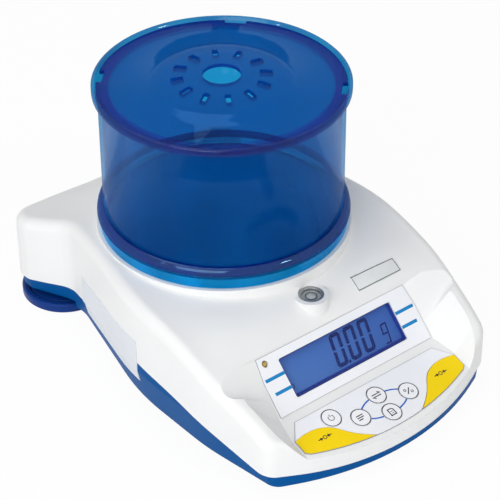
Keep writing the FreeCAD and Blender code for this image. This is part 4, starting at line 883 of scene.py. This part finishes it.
# %% Blue arcs and the keypad's border line
OVAL_CENTRE, OVAL_HALF = (0.6, -19.7), (14.6, 6.6)
ARC_LINE, ARC_GAP = 0.8, 0.15
oval = [(OVAL_CENTRE[0] + OVAL_HALF[0] * a, OVAL_CENTRE[1] + OVAL_HALF[1] * b)
        for a, b in circle((0.0, 0.0), 1.0, steps=360)]
linked = [KEY_PLACES[key] for key in ("key_left", "key_top", "key_bottom", "key_right")]
free = [all(math.dist(point, key) > KEY_RADIUS + ARC_GAP for key in linked) for point in oval]
arcs, run = [], []
first_gap = free.index(False)
for step in range(len(oval)):
    place = (first_gap + step) % len(oval)
    if free[place]:
        run.append(oval[place])
    elif run:
        arcs.append(run)
        run = []
if run:
    arcs.append(run)
printed("keypad_arcs", blue_ink, "case", keypad, inked(KEYPAD_FILM_TOP),
        lines=strokes(ARC_LINE, False, *arcs))


def front_arc(half, side_depth, middle_depth, steps=40):
    """The keypad's front border: a circle's arc from one low corner over the middle to the other."""
    rise = side_depth - middle_depth
    radius = (half * half + rise * rise) / (2 * rise)
    reach = math.degrees(math.asin(half / radius))
    return circle((0.0, middle_depth + radius), radius, 270.0 - reach, 270.0 + reach, steps)


keypad_edge = [(46.7, -4.8), (-46.7, -4.8), (-54.2, -14.4), (-54.2, -22.3)]
keypad_edge += front_arc(52.0, -24.2, -33.4) + [(54.2, -22.3), (54.2, -14.4)]
hairline("keypad_hairline", keypad, keypad_edge, -19.0, 1.008, 0.28, KEYPAD_FILM_TOP)
print("arcs:", len(arcs))

# %% [markdown]
# ## The spirit level
#
# A round level sits in a boss in front of the pan: a metal cup, a liquid under a domed glass, a printed
# circle on the glass and the bubble below it. The CAD glass is one plain disc, so a clear lens replaces
# it, with the liquid and the bubble as turned shapes of their own. A turned shape is a short profile
# spun round the axis, with its seam and poles closed afterwards.

# %% Glass, liquid, bubble and circle of the level
cup_low, cup_high = (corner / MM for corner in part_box("level_cup"))
LEVEL = Vector(((cup_low.x + cup_high.x) / 2, (cup_low.y + cup_high.y) / 2, 0.0))


def spun(profile, centre, steps=64):
    """A closed shape: (radius, height) pairs from axis to axis, spun round an upright axis."""
    mesh = bmesh.new()
    rows = []
    for step in range(steps):
        turn = 2 * math.pi * step / steps
        out = Vector((math.cos(turn), math.sin(turn), 0.0))
        places = [centre + out * radius + Vector((0.0, 0.0, height)) for radius, height in profile]
        rows.append([mesh.verts.new(place * MM) for place in places])
    join_rows(mesh, rows, around=False, along=True)
    bmesh.ops.remove_doubles(mesh, verts=mesh.verts, dist=1e-8)
    return mesh


def bulge(radius, low, rise, steps=8):
    """The rising part of a shallow dome, from its edge to the axis."""
    return [(radius * a, low + rise * b) for a, b in circle((0.0, 0.0), 1.0, 0.0, 90.0, steps)]


CUP_RADIUS, LIQUID_LOW, LIQUID_TOP = 5.1, 56.7, 60.0
BUBBLE_RADIUS, BUBBLE_LOW, BUBBLE_RISE = 2.1, 60.03, 0.28
LENS_RADIUS, LENS_LOW, LENS_RIM, LENS_RISE = 5.0, 60.42, 60.9, 0.5
CIRCLE_RADIUS, CIRCLE_LINE, CIRCLE_HEIGHTS = 3.0, 0.42, (60.33, 60.4)
liquid_look = plain("level_liquid", srgb(172, 176, 174), 0.25, 500.0, 0.02, srgb(160, 164, 164))
bubble_look = plain("level_bubble", srgb(196, 200, 198), 0.08, 500.0, 0.02, srgb(182, 186, 186))
liquid = [(0.0, LIQUID_LOW), (CUP_RADIUS, LIQUID_LOW), (CUP_RADIUS, LIQUID_TOP), (0.0, LIQUID_TOP)]
bubble = [(0.0, BUBBLE_LOW)] + bulge(BUBBLE_RADIUS, BUBBLE_LOW, BUBBLE_RISE)
lens = [(0.0, LENS_LOW), (CUP_RADIUS, LENS_LOW), (CUP_RADIUS, LENS_RIM)]
lens += bulge(LENS_RADIUS, LENS_RIM, LENS_RISE)[1:]
for name, profile, look, replaced in (("level_liquid", liquid, liquid_look, []),
                                      ("level_bubble", bubble, bubble_look, []),
                                      ("level_lens", lens, clear_glass, ["level_glass"])):
    piece(name, spun(profile, LEVEL), look, "case", replaced, 35.0)


def level_plane(across, along, height):
    return Vector((LEVEL.x + across, LEVEL.y + along, height)) * MM


printed("level_circle", black_ink, "case", level_plane, CIRCLE_HEIGHTS,
        lines=strokes(CIRCLE_LINE, True, circle((0, 0), CIRCLE_RADIUS, steps=64)))
print("level at", [round(value, 2) for value in LEVEL])

# %% [markdown]
# ## Borders that lie on curved faces
#
# The small silver plate is stuck on the crown of the case, so its thin border has to follow the plate's
# own face. Every point of the border drops straight down on the plate's mesh and keeps the height it
# meets there.

# %% Border of the silver plate
def surface_of(node):
    """A search tree over a CAD node's triangles, for dropping points on it."""
    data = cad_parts[node].data
    return BVHTree.FromPolygons([v.co for v in data.vertices], [p.vertices for p in data.polygons])


ABOVE_CASE, PLATE_LEVEL, PLATE_INSET = 100.0, 57.0, 0.32
UP = Vector((0.0, 0.0, 1.0))
plate_tree = surface_of("model_plate")
plate_low, plate_high = (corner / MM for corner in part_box("model_plate"))


def on_plate(across, along, lift):
    hit = plate_tree.ray_cast(Vector((across, along, ABOVE_CASE)) * MM, -UP)[0]
    return (hit or Vector((across, along, PLATE_LEVEL)) * MM) + UP * lift * MM


def dotted_path(corners, spacing=1.0):
    """The same closed path with a point at least every so many millimetres."""
    points = []
    for here, there in zip(corners, corners[1:] + corners[:1]):
        count = max(1, round(math.dist(here, there) / spacing))
        run = (there[0] - here[0], there[1] - here[1])
        points += [(here[0] + run[0] * step / count, here[1] + run[1] * step / count)
                   for step in range(count)]
    return points


left, front = plate_low.x + PLATE_INSET, plate_low.y + PLATE_INSET
far, back = plate_high.x - PLATE_INSET, plate_high.y - PLATE_INSET
border = dotted_path([(left, front), (far, front), (far, back), (left, back)])
printed("plate_border", black_ink, "case", on_plate, inked(0.0),
        lines=strokes(0.3, True, border))
print("plate:", in_mm((plate_high - plate_low) * MM))

# %% [markdown]
# ## The draft shield and its lid
#
# Both are turned shapes whose solids are right, but a CAD node is a loose heap of flat triangles, and
# clear plastic shows every one of them. So a merged and smoothed copy replaces each. In the lid's copy
# the sides of the hole and of the vents get the darker finish of a cut edge.

# %% Smooth copies of shield and lid
def smooth_copy(node, name, finish, is_cut_edge=None):
    """A merged, smooth copy of a CAD node. Faces that the rule picks take the violet of a cut edge."""
    mesh = bmesh.new()
    mesh.from_mesh(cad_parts[node].data)
    bmesh.ops.remove_doubles(mesh, verts=mesh.verts, dist=1e-6)
    bmesh.ops.recalc_face_normals(mesh, faces=mesh.faces)
    if is_cut_edge is not None:
        for face in mesh.faces:
            face.material_index = int(is_cut_edge(face))
    copy = piece(name, mesh, finish, node, [node], 30.0)
    if is_cut_edge is not None:
        copy.data.materials.append(edge_violet)
    return copy


VENTS_END = 38 * MM


def in_opening(face):
    """Whether a face is a side wall of the lid's hole or of a vent."""
    centre = face.calc_center_median()
    reach = math.hypot(centre.x, centre.y - PAN_CENTRE[1])
    return abs(face.normal.z) < 0.3 and reach < VENTS_END


shield = smooth_copy("draft_shield", "shield_clear", shield_blue)
lid = smooth_copy("shield_lid", "lid_clear", lid_blue, in_opening)
print("faces of shield and lid:", len(shield.data.polygons), len(lid.data.polygons))

# %% [markdown]
# ### The collar above the flange
#
# Where the wall meets its flange the plastic runs out in a thick rolled collar that catches white
# glints. Its section is a quarter of an ellipse, spun round the shield's axis like the parts of the
# level.

# %% Collar of the draft shield
COLLAR_LOW, COLLAR_HIGH, COLLAR_LIP = 78.25, 82.6, 0.5
WALL_RADIUS, COLLAR_RADIUS, INTO_WALL = 64.0, 67.3, 0.1
reach, rise = COLLAR_RADIUS - WALL_RADIUS, COLLAR_HIGH - COLLAR_LOW - COLLAR_LIP
roll = [(WALL_RADIUS + reach * abs(a) ** 0.8, COLLAR_LOW + COLLAR_LIP + rise * b ** 1.2)
        for a, b in circle((0.0, 0.0), 1.0, 0.0, 90.0, 9)]
section = [(WALL_RADIUS - INTO_WALL, COLLAR_LOW), (COLLAR_RADIUS, COLLAR_LOW)] + roll
section += [(WALL_RADIUS - INTO_WALL, COLLAR_HIGH), (WALL_RADIUS - INTO_WALL, COLLAR_LOW)]
collar = spun(section, Vector(PAN_CENTRE) / MM, 128)
piece("shield_collar", collar, collar_violet, "draft_shield", smooth_angle=40.0)
print("collar rises", round(COLLAR_HIGH - COLLAR_LOW, 1), "mm")

# %% [markdown]
# ## Grip ribs
#
# The rear feet are turned by hand and the battery cover is pushed with a thumb, so both have ribs.
# These repeat along a circle and along a line, so each of two small trees instances one rib on points.

# %% Ribs round the rear feet
FOOT_X, FOOT_Y, RIB_MIDDLE, RIB_CIRCLE = 52.0, 100.75, 2.9, 24.18
RIBS, RIB_SIZE = 72, Vector((0.5, 0.9, 2.6))
rib_tree, given = new_tree("ribs_round_a_disc", Count="Int", Radius="Float", Size="Vector",
                           Place="Vector", Material="Material")
stations = tree_node(rib_tree, "GeometryNodeMeshCircle",
                     {"Vertices": given["Count"], "Radius": given["Radius"]})
outward = tree_node(rib_tree, "GeometryNodeInputPosition")
facing = tree_node(rib_tree, "FunctionNodeAlignRotationToVector", {"Vector": outward}, axis="X")
rib = tree_node(rib_tree, "GeometryNodeMeshCube", {"Size": given["Size"]})
placed = tree_node(rib_tree, "GeometryNodeInstanceOnPoints",
                   {"Points": stations, "Instance": rib, "Rotation": facing})
laid = tree_node(rib_tree, "GeometryNodeTransform", {"Geometry": placed, "Translation": given["Place"]})
end_tree(rib_tree, laid, given["Material"])
for side, word in ((-1, "left"), (1, "right")):
    place = Vector((side * FOOT_X, FOOT_Y, RIB_MIDDLE)) * MM
    sizes = {"Count": RIBS, "Radius": RIB_CIRCLE * MM, "Size": RIB_SIZE * MM, "Place": place,
             "Material": foot_plastic}
    grown("grip_ribs_" + word, rib_tree, sizes, "foot_disc_" + word)
print("ribs on a foot:", RIBS)

# %% Ribs on the battery cover
cover_low, cover_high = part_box("battery_cover")
COVER_RIBS, COVER_RIB_STEP, COVER_RIB_SIZE = 7, 2.2, Vector((22.0, 0.9, 0.5))
FIRST_RIB, RIB_BELOW = 6.0, 0.15
row_tree, given = new_tree("ribs_in_a_row", Count="Int", Step="Vector", Start="Vector",
                           Size="Vector", Material="Material")
row = {"Count": given["Count"], "Start Location": given["Start"], "Offset": given["Step"]}
stations = tree_node(row_tree, "GeometryNodeMeshLine", row, mode="OFFSET")
rib = tree_node(row_tree, "GeometryNodeMeshCube", {"Size": given["Size"]})
placed = tree_node(row_tree, "GeometryNodeInstanceOnPoints", {"Points": stations, "Instance": rib})
end_tree(row_tree, placed, given["Material"])
sizes = {"Count": COVER_RIBS, "Step": (0.0, COVER_RIB_STEP * MM, 0.0),
         "Start": (0.0, cover_low.y + FIRST_RIB * MM, cover_low.z - RIB_BELOW * MM),
         "Size": COVER_RIB_SIZE * MM, "Material": blue_plastic}
grown("cover_ribs", row_tree, sizes, "battery_cover")
print("battery cover:", in_mm(cover_high - cover_low))

# %% [markdown]
# ## The studio
#
# Product pictures of this kind are lit from all sides by soft boxes, and the ground is blown out to
# white. The floor and the world are white only for rays that come straight from the camera or by way of
# gloss and glass. The lamps alone decide how bright the object is, and the floor keeps a faint shadow.
# Seen from below, the floor lets the eye through, so that the underside can be looked at too.

# %% Floor and background
floor_mesh = bmesh.new()
bmesh.ops.create_grid(floor_mesh, x_segments=1, y_segments=1, size=3.0)
floor_data = bpy.data.meshes.new("studio_floor")
floor_mesh.to_mesh(floor_data)
floor_mesh.free()
floor = new_object("studio_floor", floor_data)


def seen_directly(recipe):
    """1 for camera, glossy and transmission rays, 0 for all others."""
    names = ("Is Camera Ray", "Is Glossy Ray", "Is Transmission Ray")
    return sum(recipe.node("ShaderNodeLightPath", out=name) for name in names).held()


FLOOR_GLOW, WORLD_LIGHT = 0.95, 0.29
ground = Recipe("studio_floor_white")
matt = ground.surface(Base_Color=(0.9, 0.9, 0.9, 1.0), Roughness=0.8)
glow = ground.node("ShaderNodeEmission", {"Color": WHITE, "Strength": 1.0})
from_above = ground.blend(seen_directly(ground) * FLOOR_GLOW, matt, glow)
from_below = ground.node("ShaderNodeNewGeometry", out="Backfacing")
nothing = ground.node("ShaderNodeBsdfTransparent")
dress(floor, ground.finish(ground.blend(from_below, from_above, nothing)))

sky = Recipe("studio_world", "World")
levels = {"Value": seen_directly(sky), "To Min": WORLD_LIGHT, "To Max": 1.0}
strength = sky.node("ShaderNodeMapRange", levels)
bpy.context.scene.world = sky.finish(
    sky.node("ShaderNodeBackground", {"Color": WHITE, "Strength": strength}))
print("world light:", WORLD_LIGHT)

# %% Soft boxes
LIT_PLACE = Vector((0.0, 0.0, 0.06))


def soft_box(name, place, power, width, height):
    """A rectangular lamp that faces the middle of the balance."""
    data = bpy.data.lights.new(name, "AREA")
    data.shape = "RECTANGLE"
    data.size, data.size_y, data.energy = width, height, power
    lamp = new_object(name, data)
    turn = (LIT_PLACE - Vector(place)).to_track_quat("-Z", "Y")
    lamp.matrix_world = Matrix.Translation(place) @ turn.to_matrix().to_4x4()
    return lamp


lamps = [
    soft_box("key_lamp", (-1.5, -0.9, 0.9), 19.0, 1.4, 1.2),
    soft_box("front_lamp", (0.5, -1.8, 0.9), 7.5, 0.28, 0.2),
    soft_box("top_lamp", (-0.3, 0.3, 1.8), 9.5, 1.2, 1.2),
    soft_box("glint_lamp", (-1.6, 0.05, 0.8), 2.4, 0.07, 0.14),
]
print("lamps:", [lamp.name for lamp in lamps])

scene = bpy.context.scene
scene.view_settings.view_transform = "Standard"
scene.cycles.transparent_max_bounces = 24
scene.cycles.transmission_bounces = 16
scene.cycles.max_bounces = 20
